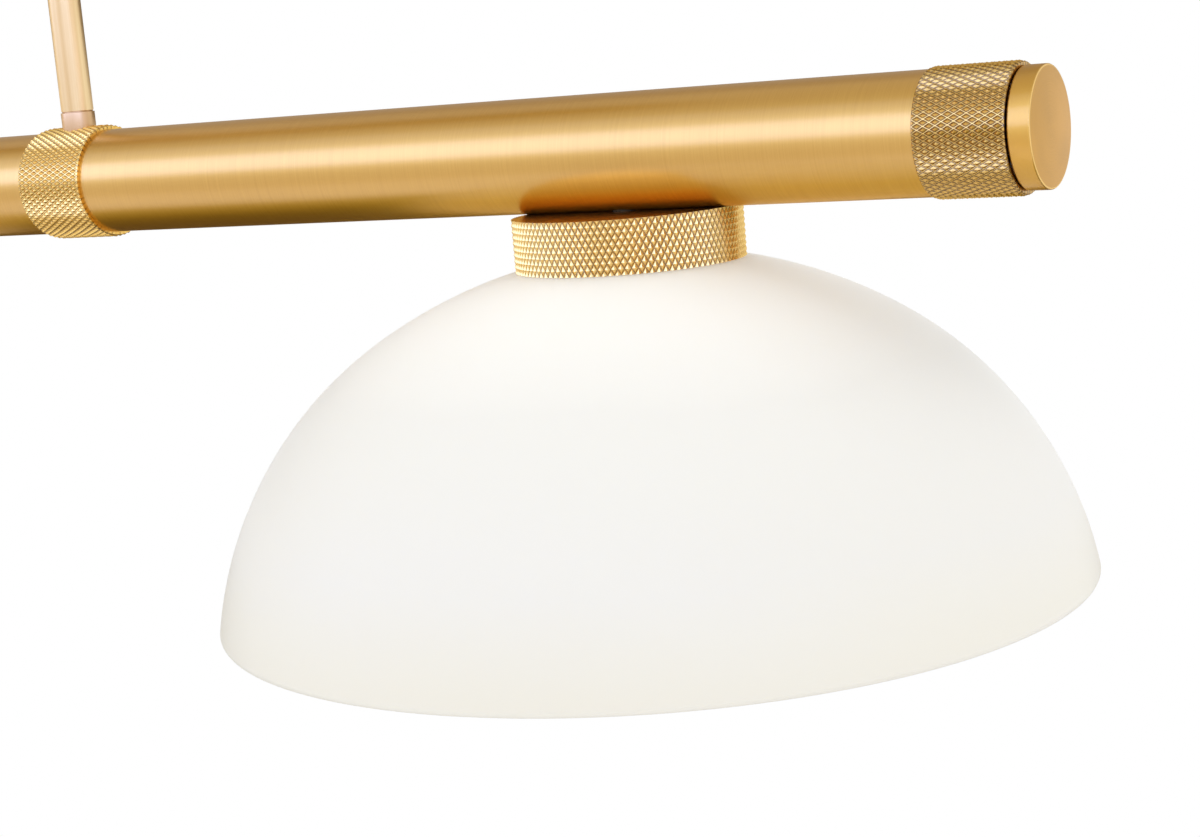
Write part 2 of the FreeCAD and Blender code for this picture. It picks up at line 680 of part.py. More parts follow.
def make_crossbar():
    """The steel strip under the ceiling, slotted for the outlet box and the anchors."""
    body = new_body("crossbar")
    outline = new_sketch(body, "XY_Plane", "outline")
    draw_rectangle(outline, CROSSBAR_HALF, "(sizes.crossbar_width / 2)")
    pad = body.newObject("PartDesign::Pad", "pad")
    pad.Profile = outline
    pad.Reversed = True
    bind(pad, Length="sizes.crossbar_thickness")
    round_corners(body, pad, "sizes.crossbar_corner_radius")
    openings = new_sketch(body, "XY_Plane", "openings")
    draw_circle(openings, "sizes.wire_hole_radius")
    for side in (-1, 1):
        draw_slot(openings, "sizes.box_slot_length", "sizes.box_slot_width",
                  f"({side} * sizes.box_screw_spacing / 2)")
        draw_slot(openings, "sizes.anchor_slot_length", "sizes.anchor_slot_width",
                  f"({side} * ({CROSSBAR_HALF} - sizes.anchor_inset))")
        draw_circle(openings, "sizes.stud_radius", f"({side} * sizes.stud_spacing / 2)")
    draw_circle(openings, "sizes.ground_screw_radius", "sizes.ground_screw_offset")
    pocket_through(body, openings, "2 * sizes.crossbar_thickness")


def make_canopy_fasteners():
    """The studs that hang the canopy from the crossbar, their cap nuts and the ground screw."""
    studs, nuts = [], []
    thread_end = f"({CANOPY_BASE} - sizes.cap_nut_thread_length + sizes.slip_fit)"
    for side in (-1, 1):
        stud = cylinder("sizes.stud_radius - sizes.slip_fit", f"-{thread_end}", thread_end)
        stud.setExpression(".Placement.Base.x", f"{side} * sizes.stud_spacing / 2")
        studs.append(stud)
        base = f"({CANOPY_BASE} - sizes.cap_nut_height)"
        blank = cylinder("sizes.cap_nut_radius", "sizes.cap_nut_height - sizes.cap_nut_chamfer",
                         f"{base} + sizes.cap_nut_chamfer")
        nose = doc.addObject("Part::Cone", "cap_nut_nose")
        bind(nose, Radius1="sizes.cap_nut_radius - sizes.cap_nut_chamfer",
             Radius2="sizes.cap_nut_radius", Height="sizes.cap_nut_chamfer")
        nose.setExpression(".Placement.Base.z", base)
        thread = cylinder("sizes.stud_radius", "sizes.cap_nut_thread_length",
                          f"{CANOPY_BASE} - sizes.cap_nut_thread_length")
        nut = cut(fuse([blank, nose]), thread, "cap_nut")
        nut.setExpression(".Placement.Base.x", f"{side} * sizes.stud_spacing / 2")
        nuts.append(nut)
    group(studs, "canopy_studs")
    group(nuts, "canopy_cap_nuts")
    head_top = "(-sizes.crossbar_thickness)"
    head_base = f"({head_top} - sizes.ground_head_height)"
    shank = "(sizes.ground_screw_radius - sizes.slip_fit)"
    screw = turned_body("ground_screw", [
        ("0", "0"), (shank, "0"), (shank, head_top), ("sizes.ground_head_radius", head_top),
        ("sizes.ground_head_radius", head_base), ("0", head_base)])
    place(screw, "sizes.ground_screw_offset")


def make_fitter_cap(number, across):
    """The knurled cap under the bar: a flat plate with a short wall, open below."""
    hole = "(sizes.thread_radius + sizes.hole_clearance)"
    outer = "sizes.fitter_radius"
    inner = f"({outer} - sizes.fitter_wall)"
    cap = turned_body(f"fitter_cap_{number}", [
        (hole, FITTER_TOP), (f"({outer} - sizes.fitter_chamfer)", FITTER_TOP),
        (outer, f"({FITTER_TOP} - sizes.fitter_chamfer)"), (outer, FITTER_RIM), (FITTER_SEAT, FITTER_RIM),
        (inner, f"({FITTER_RIM} + sizes.fitter_seat_chamfer)"), (inner, FITTER_PLATE_BASE),
        (hole, FITTER_PLATE_BASE)])
    place(cap, across, BAR_LEVEL)


def arc(centre, radius, start, end):
    """An arc in the sketch plane from one angle to another."""
    return Part.ArcOfCircle(Part.Circle(centre, FreeCAD.Vector(0, 0, 1), radius), start, end)


def make_dome(number, across):
    """The glass: a crown arc and a tangent skirt arc outside, the same two arcs one wall
    further in, a level pad round the hole for the clamp, and a rounded lip."""
    body = new_body(f"shade_{number}")
    sketch = new_sketch(body, "XZ_Plane", "section")
    wall = value("sizes.dome_wall")
    hole = value("sizes.dome_hole_radius")
    crown_radius = value(CROWN_RADIUS)
    skirt_radius = value(SKIRT_RADIUS)
    joint = math.radians(90 - value("sizes.dome_shoulder_angle"))
    crown = FreeCAD.Vector(0, -value("sizes.dome_crown_drop") - crown_radius, 0)
    towards_joint = FreeCAD.Vector(math.cos(joint), math.sin(joint), 0)
    skirt = crown + towards_joint * (crown_radius - skirt_radius)
    rim = FreeCAD.Vector(value("sizes.dome_rim_radius"), -value("sizes.dome_rim_drop"), 0)
    arcs = []
    for inset, level in ((0, value(PAD_TOP)), (wall, value(PAD_BASE))):
        skirt_start = math.asin((rim.y - skirt.y) / (skirt_radius - inset))
        crown_end = math.asin((level - crown.y) / (crown_radius - inset))
        arcs.append(arc(skirt, skirt_radius - inset, skirt_start, joint))
        arcs.append(arc(crown, crown_radius - inset, joint, crown_end))
    outer_skirt, outer_crown, inner_skirt, inner_crown = arcs
    pad_top = FreeCAD.Vector(hole, value(PAD_TOP), 0)
    pad_base = FreeCAD.Vector(hole, value(PAD_BASE), 0)
    lines = [
        Part.LineSegment(outer_crown.EndPoint, pad_top),
        Part.LineSegment(pad_top, pad_base),
        Part.LineSegment(pad_base, inner_crown.EndPoint),
        Part.LineSegment(inner_skirt.StartPoint, outer_skirt.StartPoint)]
    for piece in arcs + lines:
        sketch.addGeometry(piece, False)
    skirt_out, crown_out, skirt_in, crown_in, top_line, hole_line, base_line, rim_line = range(8)
    start, end, centre = 1, 2, 3
    for kind, one, one_point, other, other_point in (
            ("Tangent", skirt_out, end, crown_out, start),
            ("Tangent", skirt_in, end, crown_in, start),
            ("Coincident", crown_in, centre, crown_out, centre),
            ("Coincident", skirt_in, centre, skirt_out, centre),
            ("Coincident", crown_out, end, top_line, start),
            ("Coincident", top_line, end, hole_line, start),
            ("Coincident", hole_line, end, base_line, start),
            ("Coincident", base_line, end, crown_in, end),
            ("Coincident", skirt_in, start, rim_line, start),
            ("Coincident", rim_line, end, skirt_out, start)):
        sketch.addConstraint(Sketcher.Constraint(kind, one, one_point, other, other_point))
    for kind, line in (("Horizontal", top_line), ("Vertical", hole_line),
                       ("Horizontal", base_line), ("Horizontal", rim_line)):
        sketch.addConstraint(Sketcher.Constraint(kind, line))
    for curve, radius in ((crown_out, CROWN_RADIUS), (skirt_out, SKIRT_RADIUS),
                          (crown_in, INNER_CROWN_RADIUS)):
        index = sketch.addConstraint(Sketcher.Constraint("Radius", curve, value(radius)))
        sketch.setExpression(f"Constraints[{index}]", radius)
    fix(sketch, "DistanceX", (crown_out, centre), "0")
    fix(sketch, "DistanceY", (crown_out, centre),
        f"(-sizes.dome_crown_drop - {CROWN_RADIUS})")
    fix(sketch, "DistanceX", (skirt_out, start), "sizes.dome_rim_radius")
    fix(sketch, "DistanceY", (skirt_out, start), "(-sizes.dome_rim_drop)")
    fix(sketch, "DistanceX", (hole_line, start), "sizes.dome_hole_radius")
    fix(sketch, "DistanceY", (hole_line, start), PAD_TOP)
    fix(sketch, "DistanceY", (hole_line, end), PAD_BASE)
    glass = revolve(body, sketch, "V_Axis")
    doc.recompute()
    lip = [f"Edge{index}" for index, edge in enumerate(glass.Shape.Edges, start=1)
           if abs(edge.BoundBox.ZMax - rim.y) < SEAT_TOLERANCE and edge.BoundBox.XLength > rim.x]
    rounding = body.newObject("PartDesign::Fillet", "lip")
    rounding.Base = (glass, lip)
    bind(rounding, Radius="sizes.dome_lip_radius")
    place(body, across, BAR_LEVEL)


def make_socket(number, across):
    """The socket: hub and shoulder above the glass, threaded barrel through it, with its
    screw shell and centre contact."""
    shoulder_base = f"({PAD_TOP} + sizes.slip_fit)"
    shoulder_top = f"({shoulder_base} + sizes.socket_shoulder_height)"
    hub_base = f"({FITTER_PLATE_BASE} - sizes.socket_hub_depth)"
    socket = turned_body(f"socket_{number}", [
        ("sizes.thread_radius", FITTER_PLATE_BASE), ("sizes.socket_neck_radius", FITTER_PLATE_BASE),
        ("sizes.socket_neck_radius", shoulder_top), ("sizes.socket_shoulder_radius", shoulder_top),
        ("sizes.socket_shoulder_radius", shoulder_base), ("sizes.socket_thread_radius", shoulder_base),
        ("sizes.socket_thread_radius", SOCKET_MOUTH), ("sizes.socket_bore_radius", SOCKET_MOUTH),
        ("sizes.socket_bore_radius", SOCKET_FLOOR), ("sizes.socket_wire_radius", SOCKET_FLOOR),
        ("sizes.socket_wire_radius", hub_base), ("sizes.thread_radius", hub_base)])
    shell_outer = "(sizes.socket_bore_radius - sizes.slip_fit)"
    shell_inner = f"({shell_outer} - sizes.shell_wall)"
    shell_top = f"({SOCKET_FLOOR} - sizes.shell_floor_inset)"
    shell_base = f"({SOCKET_MOUTH} + sizes.shell_end_inset)"
    shell = turned_body(f"socket_shell_{number}", [
        (shell_inner, shell_top), (shell_outer, shell_top),
        (shell_outer, shell_base), (shell_inner, shell_base)])
    stem = "(sizes.socket_wire_radius - sizes.slip_fit)"
    contact_face = f"({SOCKET_FLOOR} - sizes.contact_height)"
    contact = turned_body(f"socket_contact_{number}", [
        ("0", f"({SOCKET_FLOOR} + sizes.contact_stem_length)"),
        (stem, f"({SOCKET_FLOOR} + sizes.contact_stem_length)"), (stem, SOCKET_FLOOR),
        ("sizes.contact_radius", SOCKET_FLOOR), ("sizes.contact_radius", contact_face),
        ("0", contact_face)])
    for piece in (socket, shell, contact):
        place(piece, across, BAR_LEVEL)


def make_ring(number, across):
    """The gasket under the glass and the threaded ring that clamps it, with grip notches."""
    bore = "(sizes.socket_thread_radius + sizes.turn_fit)"
    gasket_top = f"({PAD_BASE} - sizes.slip_fit)"
    gasket = turned_body(f"shade_gasket_{number}", [
        (bore, gasket_top), ("sizes.gasket_radius", gasket_top),
        ("sizes.gasket_radius", GASKET_BASE), (bore, GASKET_BASE)])
    flange_base = f"({RING_TOP} - sizes.ring_flange_height)"
    ring_base = f"({RING_TOP} - sizes.ring_height)"
    ring = turned_body(f"shade_ring_{number}", [
        (bore, RING_TOP), ("sizes.ring_flange_radius", RING_TOP),
        ("sizes.ring_flange_radius", flange_base), ("sizes.ring_hub_radius", flange_base),
        ("sizes.ring_hub_radius", ring_base), (bore, ring_base)])
    notch = new_sketch(ring, "XY_Plane", "notch")
    draw_circle(notch, "sizes.ring_notch_radius", "sizes.ring_hub_radius + sizes.ring_notch_radius / 2")
    notch.AttachmentOffset.Base.z = value(flange_base)
    notch.setExpression(".AttachmentOffset.Base.z", flange_base)
    pocket = pocket_through(ring, notch, "sizes.ring_height")
    pattern = ring.newObject("PartDesign::PolarPattern", "notches")
    pattern.Originals = [pocket]
    pattern.Axis = (notch, ["N_Axis"])
    pattern.Angle = FULL_TURN
    pattern.Occurrences = RING_NOTCH_COUNT
    ring.Tip = pattern
    for piece in (gasket, ring):
        place(piece, across, BAR_LEVEL)


def envelope(inset):
    """The outside of a bulb's envelope, drawn in by an inset: neck, shoulder and globe."""
    centre = "(-sizes.bulb_centre_drop)"
    shoulder_top = f"({SOCKET_MOUTH} - sizes.moving_gap)"
    shoulder_base = f"({centre} + sizes.bulb_shoulder_height)"
    neck_top = f"({SOCKET_MOUTH} + sizes.bulb_neck_length)"
    globe = doc.addObject("Part::Sphere", "bulb_globe")
    bind(globe, Radius=f"sizes.bulb_radius - {inset}")
    globe.setExpression(".Placement.Base.z", centre)
    globe_edge = "sqrt(pow(sizes.bulb_radius; 2) - pow(sizes.bulb_shoulder_height; 2))"
    neck_radius = "sizes.bulb_base_radius - sizes.bulb_base_wall - sizes.slip_fit"
    shoulder = doc.addObject("Part::Cone", "bulb_shoulder")
    bind(shoulder, Radius1=f"{globe_edge} - {inset}", Radius2=f"{neck_radius} - {inset}",
         Height=f"{shoulder_top} - {shoulder_base}")
    shoulder.setExpression(".Placement.Base.z", shoulder_base)
    neck = cylinder(f"{neck_radius} - {inset}", f"{neck_top} - {shoulder_top}", shoulder_top)
    return fuse([globe, shoulder, neck])


def make_bulb(number, across):
    """The bulb: the contact button on its insulator, the screw base and the hollow envelope."""
    button_base = f"({BULB_TIP} - sizes.bulb_button_height)"
    rim_top = f"({button_base} - sizes.bulb_insulator_height)"
    rim_base = f"({rim_top} - sizes.bulb_base_rim_height)"
    base_end = f"({SOCKET_MOUTH} - sizes.slip_fit)"
    contact = turned_body(f"bulb_contact_{number}", [
        ("0", BULB_TIP), ("sizes.bulb_button_radius", BULB_TIP),
        ("sizes.bulb_button_radius", button_base), ("sizes.bulb_insulator_radius", rim_top),
        ("sizes.bulb_insulator_radius", rim_base), ("0", rim_base)])
    rim_bore = "(sizes.bulb_insulator_radius + sizes.turn_fit)"
    bore = "(sizes.bulb_base_radius - sizes.bulb_base_wall)"
    base = turned_body(f"bulb_base_{number}", [
        (rim_bore, rim_top), ("sizes.bulb_base_radius", rim_top),
        ("sizes.bulb_base_radius", base_end), (bore, base_end), (bore, rim_base),
        (rim_bore, rim_base)])
    bulb = keep(cut(envelope("0"), envelope("sizes.bulb_wall")), f"bulb_{number}")
    for piece in (contact, base, bulb):
        place(piece, across, BAR_LEVEL)


def check_and_write():
    """Refuse a failed or broken sub-part, and write each good one to its own file."""
    doc.recompute()
    for item in doc.Objects:
        if "Invalid" in item.State or "Error" in item.State:
            raise ValueError(f"{item.Name} failed: {item.State}")
    for part in subparts:
        if part.Shape.isNull() or not part.Shape.isValid():
            raise ValueError(f"{part.Label} has no valid shape")
    os.makedirs("parts", exist_ok=True)
    for part in subparts:
        part.Shape.exportStep(f"parts/{part.Label}.step")
    print(len(subparts), "sub-parts written")


make_crossbar()
make_canopy()
make_canopy_fasteners()
make_swivel_fasteners()
make_swivels()
make_rods()
make_main_tube()
make_sleeves()
make_bar_ends()
make_bar_fasteners()
for index in range(LIGHT_COUNT):
    make_fitter_cap(index + 1, light_place(index))
    make_socket(index + 1, light_place(index))
    make_dome(index + 1, light_place(index))
    make_ring(index + 1, light_place(index))
    make_bulb(index + 1, light_place(index))
check_and_write()
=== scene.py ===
import math

import bmesh
import bpy
import numpy as np
from mathutils import Matrix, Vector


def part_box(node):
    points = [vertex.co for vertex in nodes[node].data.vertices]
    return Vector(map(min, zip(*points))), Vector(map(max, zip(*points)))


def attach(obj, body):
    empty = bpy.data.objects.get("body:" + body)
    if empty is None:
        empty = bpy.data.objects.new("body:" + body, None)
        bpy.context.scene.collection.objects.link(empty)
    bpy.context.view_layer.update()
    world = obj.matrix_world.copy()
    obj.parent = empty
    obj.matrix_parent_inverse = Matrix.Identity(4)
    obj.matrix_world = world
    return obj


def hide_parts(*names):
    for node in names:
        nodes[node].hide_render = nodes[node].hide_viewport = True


# Looks of a linear pendant: a brass bar on two down rods, with knurled sleeves, collars and
# fitter caps, and an opal glass dome with a lamp socket and a bulb at each light.
# Lengths are in metres and angles in degrees, unless a comment says otherwise.

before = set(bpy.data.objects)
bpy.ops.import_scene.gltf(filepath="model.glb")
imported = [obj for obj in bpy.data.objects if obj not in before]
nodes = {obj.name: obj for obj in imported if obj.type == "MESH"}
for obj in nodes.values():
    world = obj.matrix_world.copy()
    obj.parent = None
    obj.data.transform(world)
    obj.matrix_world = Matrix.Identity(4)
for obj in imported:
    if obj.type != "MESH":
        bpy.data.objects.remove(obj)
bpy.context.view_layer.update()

LIGHTS = (1, 2, 3)
SIDES = ("left", "right")
FULL_TURN = 2 * math.pi

# Knurling: the points' two pitches, their depth, the grid steps over half a point, the
# share of the depth that the groove's flat floor cuts off, and the share left of the tip
KNURL_AROUND = 0.00232
KNURL_ALONG = 0.00403
KNURL_DEPTH = 0.0007
KNURL_STEPS = 6
FLAT_GROOVE, SHARP_GROOVE = 1 / 6, 0.0
CREST_WEAR = 0.93
BAND_CHAMFER, SHARP_EDGE = 0.0008, 0.0
# The height kept on the plain ends of the knurled bands, which paints them darker, a painted
# shade where a band meets the tube or its cap, and the height kept on plain ends that stay
# bright
BAND_END_SHADE, PLAIN_TONE = 0.22, 1.0

# Bar, sleeves, collars and caps
TUBE_WALL = 0.0015
TUBE_EDGE = 0.0002
SLEEVE_BORE = 0.02005
PLUG_BORE = 0.0186
CAP_NECK = 0.0176
CAP_GAP = 0.0003
CAP_CHAMFER = 0.0006
CAP_RADIUS = 0.0192

# Fitter caps
FITTER_WALL = 0.002
FITTER_PLATE = 0.002
FITTER_HOLE = 0.0052
FITTER_EDGE_GAP = 0.0001
SEAT_CHAMFER = 0.0016

# Down rods
ROD_BORE = 0.0035
ROD_EDGE = 0.0002
FERRULE_NECK = 0.0059
FERRULE_GROOVE = 0.0004

# Glass dome: a crown arc down to the shoulder, then a skirt arc down to the rim. Its crown
# and its foot are drops below the bar's axis.
DOME_RIM = 0.1524
SHOULDER_ANGLE = 31.5
RIM_LEAN = 9.1
DOME_WALL = 0.004
DOME_CROWN = 0.0338
DOME_FOOT = 0.1522
LIP_RADIUS = 0.0019
PAD_RADIUS = 0.025
HOLE_RADIUS = 0.0195
HOLE_EDGE = 0.0005

# Bulb: its globe, whose centre is a drop below the bar's axis, the angle in radians that the
# shoulder takes from the globe, and the shoulder's length and pull
BULB_RADIUS = 0.030
BULB_CENTRE = 0.119
BULB_NECK = 0.0121
BULB_BLEND = 0.6
BULB_SHOULDER = 0.012
BULB_PULL = 0.014

# Bulb base: its rounded head, its rolled thread and the lip at its foot
HEAD_RADIUS, HEAD_SIDE, HEAD_DROP = 0.0095, 0.0115, 0.0015
THREAD_PITCH = 0.00363
THREAD_DEPTH = 0.0009
THREAD_FROM_TOP, THREAD_FROM_FOOT = 0.003, 0.004
BASE_LIP = 0.0005

# Steps of turned and curved surfaces, and the least angle of a sharp edge on them
TURN_STEPS, ROD_TURN_STEPS, FINE_TURN_STEPS, THREAD_TURN_STEPS = 192, 128, 256, 96
ARC_STEPS, LIP_STEPS, CORNER_STEPS, THREAD_STEPS = 40, 10, 4, 8
PLAIN_CREASE, KNURL_CREASE, CAP_CREASE, GLASS_CREASE = 30, 12, 40, 60
MERGE_DISTANCE = 1e-6


def middle(node):
    """A node's centre and half its size."""
    low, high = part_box(node)
    return (low + high) / 2, (high - low) / 2


bar_centre, bar_half = middle("main_tube")


# Shapes

AXES = {
    "x": np.array([(1, 0, 0), (0, 1, 0), (0, 0, 1)], float),
    "z": np.array([(0, 0, 1), (1, 0, 0), (0, 1, 0)], float),
}


def turned_mesh(name, along, reach, axis, centre, height=None, split=None,
                crease=PLAIN_CREASE):
    """A surface turned round an axis: point = centre + along * axis
    + reach * (cos(turn) * first side + sin(turn) * second side).
    along has one value for each row, and reach one for each row and column of the turn.
    height is kept with the points, 1 on the plain surface and 0 at a groove's bottom.
    split tells in which cells the diagonal runs the other way; None leaves them four-sided.
    Rows that meet, at a pole or at a closed profile's ends, are merged."""
    rows, columns = reach.shape
    turn = np.linspace(0, FULL_TURN, columns, endpoint=False)
    main, first, second = AXES[axis]
    around = np.cos(turn)[:, None] * first + np.sin(turn)[:, None] * second
    points = (np.asarray(centre, float) + along[:, None, None] * main
              + reach[:, :, None] * around[None, :, :])
    row, column = np.mgrid[0:rows - 1, 0:columns]
    here = row * columns + column
    beside = row * columns + (column + 1) % columns
    across = beside + columns
    below = here + columns
    quads = np.stack([here, beside, across, below], axis=-1).reshape(-1, 4)
    if split is None:
        faces = quads.tolist()
    else:
        pick = split.reshape(-1)
        one, other = quads[~pick], quads[pick]
        faces = np.concatenate([one[:, [0, 1, 2]], one[:, [0, 2, 3]],
                                other[:, [0, 1, 3]], other[:, [1, 2, 3]]]).tolist()
    mesh = bpy.data.meshes.new(name)
    mesh.from_pydata(points.reshape(-1, 3).tolist(), [], faces)
    height = np.ones(reach.shape) if height is None else height
    for layer, values in (("reach", reach), ("height", height)):
        stored = mesh.attributes.new(layer, "FLOAT", "POINT")
        stored.data.foreach_set("value", values.reshape(-1).astype(np.float32))
    shape = bmesh.new()
    shape.from_mesh(mesh)
    bmesh.ops.remove_doubles(shape, verts=shape.verts, dist=MERGE_DISTANCE)
    bmesh.ops.recalc_face_normals(shape, faces=shape.faces)
    shape.to_mesh(mesh)
    shape.free()
    mesh.polygons.foreach_set("use_smooth", np.ones(len(mesh.polygons), bool))
    mesh.set_sharp_from_angle(angle=math.radians(crease))
    return mesh


def make_piece(name, mesh, material, body, replaced):
    """Puts a mesh in the scene, on its body, in place of a CAD node."""
    piece = bpy.data.objects.new(name, mesh)
    bpy.context.scene.collection.objects.link(piece)
    mesh.materials.append(material)
    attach(piece, body)
    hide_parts(replaced)


def rounded(corners, radius):
    """A profile with its inner corners softened: each becomes the parabola
    (1-t)^2 * before + 2t(1-t) * corner + t^2 * after, with before and after set back by the
    radius, or by under half of a side that is shorter than two of them."""
    under_half = 0.45
    corners = np.asarray(corners, float)
    share = np.linspace(0, 1, CORNER_STEPS + 1)[:, None]
    parts = [corners[:1]]
    for last, corner, following in zip(corners, corners[1:], corners[2:]):
        ends = []
        for other in (last, following):
            side = np.linalg.norm(other - corner)
            ends.append(corner + (other - corner) * min(radius, side * under_half) / side)
        parts.append((1 - share) ** 2 * ends[0] + 2 * share * (1 - share) * corner
                     + share ** 2 * ends[1])
    parts.append(corners[-1:])
    return np.concatenate(parts)


def swept(profile, columns):
    """A profile's two columns as the rows along the axis and their reach all round it."""
    profile = np.asarray(profile, float)
    return profile[:, 0], np.repeat(profile[:, 1:], columns, axis=1)


def turned_piece(name, profile, axis, centre, material, body, replaced,
                 columns=TURN_STEPS, crease=PLAIN_CREASE):
    """A plain turned piece from its (along, reach) profile."""
    along, reach = swept(profile, columns)
    mesh = turned_mesh(name, along, reach, axis, centre, crease=crease)
    make_piece(name, mesh, material, body, replaced)


def knurled_wall(start, end, crest, chamfer, floor):
    """The outside of a knurled band. With u diamonds around and v diamonds along, two
    families of straight grooves run where u + v and u - v are whole numbers. The shape
    1 - 2 * max(|frac(u + v) - 1/2|, |frac(u - v) - 1/2|) is a four-sided point between
    them; what lies under the floor's share is flat, and its tip is worn. The radius is the
    crest less the depth times what is missing of the height, and no more than the chamfer
    at each end allows."""
    halves_around = 2 * round(FULL_TURN * crest / KNURL_AROUND)
    halves_along = round(2 * abs(end - start) / KNURL_ALONG)
    column = np.arange(halves_around * KNURL_STEPS)
    row = np.arange(halves_along * KNURL_STEPS + 1)
    u = column[None, :] / (2 * KNURL_STEPS)
    v = row[:, None] / (2 * KNURL_STEPS)
    plus = np.abs((u + v) % 1 - 0.5)
    minus = np.abs((u - v) % 1 - 0.5)
    point = 1 - 2 * np.maximum(plus, minus)
    height = np.clip((point - floor) / (CREST_WEAR - floor), 0, 1)
    share = row / row[-1]
    along = start + (end - start) * share
    from_end = np.minimum(np.abs(along - start), np.abs(end - along))
    limit = (from_end + crest - chamfer)[:, None]
    reach = np.minimum(crest - KNURL_DEPTH * (1 - height), limit)
    half_row = row[:-1, None] // KNURL_STEPS
    half_column = column[None, :] // KNURL_STEPS
    split = (half_row + half_column) % 2 == 0
    return along, reach, height, split


def knurled_piece(name, wall, before, after, axis, centre, material, replaced,
                  end_tone=PLAIN_TONE):
    """A knurled wall on the bar's body, closed by plain profiles: before leads to its start,
    after from its end back to the first point of before. end_tone is the height kept on the
    profiles; a low one paints them darker, as painted shade."""
    along, reach, height, split = wall
    columns = reach.shape[1]
    along_before, reach_before = swept(before, columns)
    along_after, reach_after = swept(list(after) + [before[0]], columns)
    mesh = turned_mesh(
        name,
        np.concatenate([along_before, along, along_after]),
        np.concatenate([reach_before, reach, reach_after]),
        axis, centre,
        np.concatenate([np.full(reach_before.shape, end_tone), height,
                        np.full(reach_after.shape, end_tone)]),
        np.concatenate([np.zeros(reach_before.shape, bool), split,
                        np.zeros(reach_after.shape, bool)]),
        crease=KNURL_CREASE)
    make_piece(name, mesh, material, "bar", replaced)


def threaded_rows(top, bottom, crest):
    """A screw thread's rolled wall: the radius is the crest less the depth times
    (1 - cos(turn - 2 * pi * drop / pitch)) / 2, which fades out over half a pitch at both
    ends."""
    turn = np.linspace(0, FULL_TURN, THREAD_TURN_STEPS, endpoint=False)
    rows = round(abs(top - bottom) / THREAD_PITCH * THREAD_STEPS) + 1
    along = np.linspace(top, bottom, rows)
    drop = np.abs(along - top)[:, None]
    fade = np.clip(np.minimum(drop, abs(top - bottom) - drop) / (THREAD_PITCH / 2), 0, 1)
    wave = (1 - np.cos(turn[None, :] - FULL_TURN * drop / THREAD_PITCH)) / 2
    return along, crest - THREAD_DEPTH * wave * fade


# Shader nodes

NOISE_RANGE, NOISE_MIDDLE = (0.3, 0.7), 0.5


def add(tree, kind, settings=None, **inputs):
    """A shader node with its settings and inputs; an input is a constant or a socket."""
    made = tree.nodes.new(kind)
    for key, value in (settings or {}).items():
        setattr(made, key, value)
    for key, value in inputs.items():
        socket = made.inputs[key.replace("_", " ")]
        if isinstance(value, bpy.types.NodeSocket):
            tree.links.new(value, socket)
        else:
            socket.default_value = value
    return made


def new_finish(name, **constants):
    """A material with a shader and these constants on it."""
    material = bpy.data.materials.new(name)
    material.use_nodes = True
    tree = material.node_tree
    shader = tree.nodes["Principled BSDF"]
    for key, value in constants.items():
        shader.inputs[key.replace("_", " ")].default_value = value
    return material, tree, shader


def feed(tree, shader, **sockets):
    """Links sockets to the shader's inputs."""
    for key, socket in sockets.items():
        tree.links.new(socket, shader.inputs[key.replace("_", " ")])


def ramp(tree, fac, *stops):
    """Colours by a value from 0 to 1; each stop is a place and a colour."""
    made = add(tree, "ShaderNodeValToRGB", Fac=fac)
    elements = made.color_ramp.elements
    while len(elements) < len(stops):
        elements.new(0.5)
    for element, (place, colour) in zip(elements, stops):
        element.position = place
        element.color = (*colour, 1)
    return made.outputs["Color"]


def two_tones(tree, value, deep, pale):
    """A colour that goes from deep to pale over the range that noise mostly covers."""
    low, high = NOISE_RANGE
    return ramp(tree, value, (low, deep), (high, pale))


def spread(tree, value, low, high, source=NOISE_RANGE):
    """A value moved from the source range to low..high."""
    made = add(tree, "ShaderNodeMapRange", Value=value, From_Min=source[0],
               From_Max=source[1], To_Min=low, To_Max=high)
    return made.outputs["Result"]


def object_noise(tree, scale, detail=3.0, roughness=0.55):
    """Noise on object coordinates, with a scale for each direction."""
    place = add(tree, "ShaderNodeTexCoord").outputs["Object"]
    moved = add(tree, "ShaderNodeMapping", Vector=place, Scale=scale).outputs["Vector"]
    noise = add(tree, "ShaderNodeTexNoise", Vector=moved, Scale=1.0, Detail=detail,
                Roughness=roughness)
    return noise.outputs["Fac"]


def object_height(tree):
    """The shaded point's height in its own piece, whose origin is the ceiling point."""
    place = add(tree, "ShaderNodeTexCoord").outputs["Object"]
    return add(tree, "ShaderNodeSeparateXYZ", Vector=place).outputs["Z"]


def attribute(tree, name):
    """A value kept with the points of the mesh."""
    return add(tree, "ShaderNodeAttribute", {"attribute_name": name}).outputs["Fac"]


def math_node(tree, operation, first, second):
    """Two values joined by one operation."""
    made = add(tree, "ShaderNodeMath", {"operation": operation})
    for socket, value in zip(made.inputs, (first, second)):
        if isinstance(value, bpy.types.NodeSocket):
            tree.links.new(value, socket)
        else:
            socket.default_value = value
    return made.outputs["Value"]


def bump(tree, height, strength, distance):
    """The normal of fine relief."""
    made = add(tree, "ShaderNodeBump", Height=height, Strength=strength, Distance=distance)
    return made.outputs["Normal"]


# Brass: colours in the hollows of the grain and on its crests, and grains as noise scales

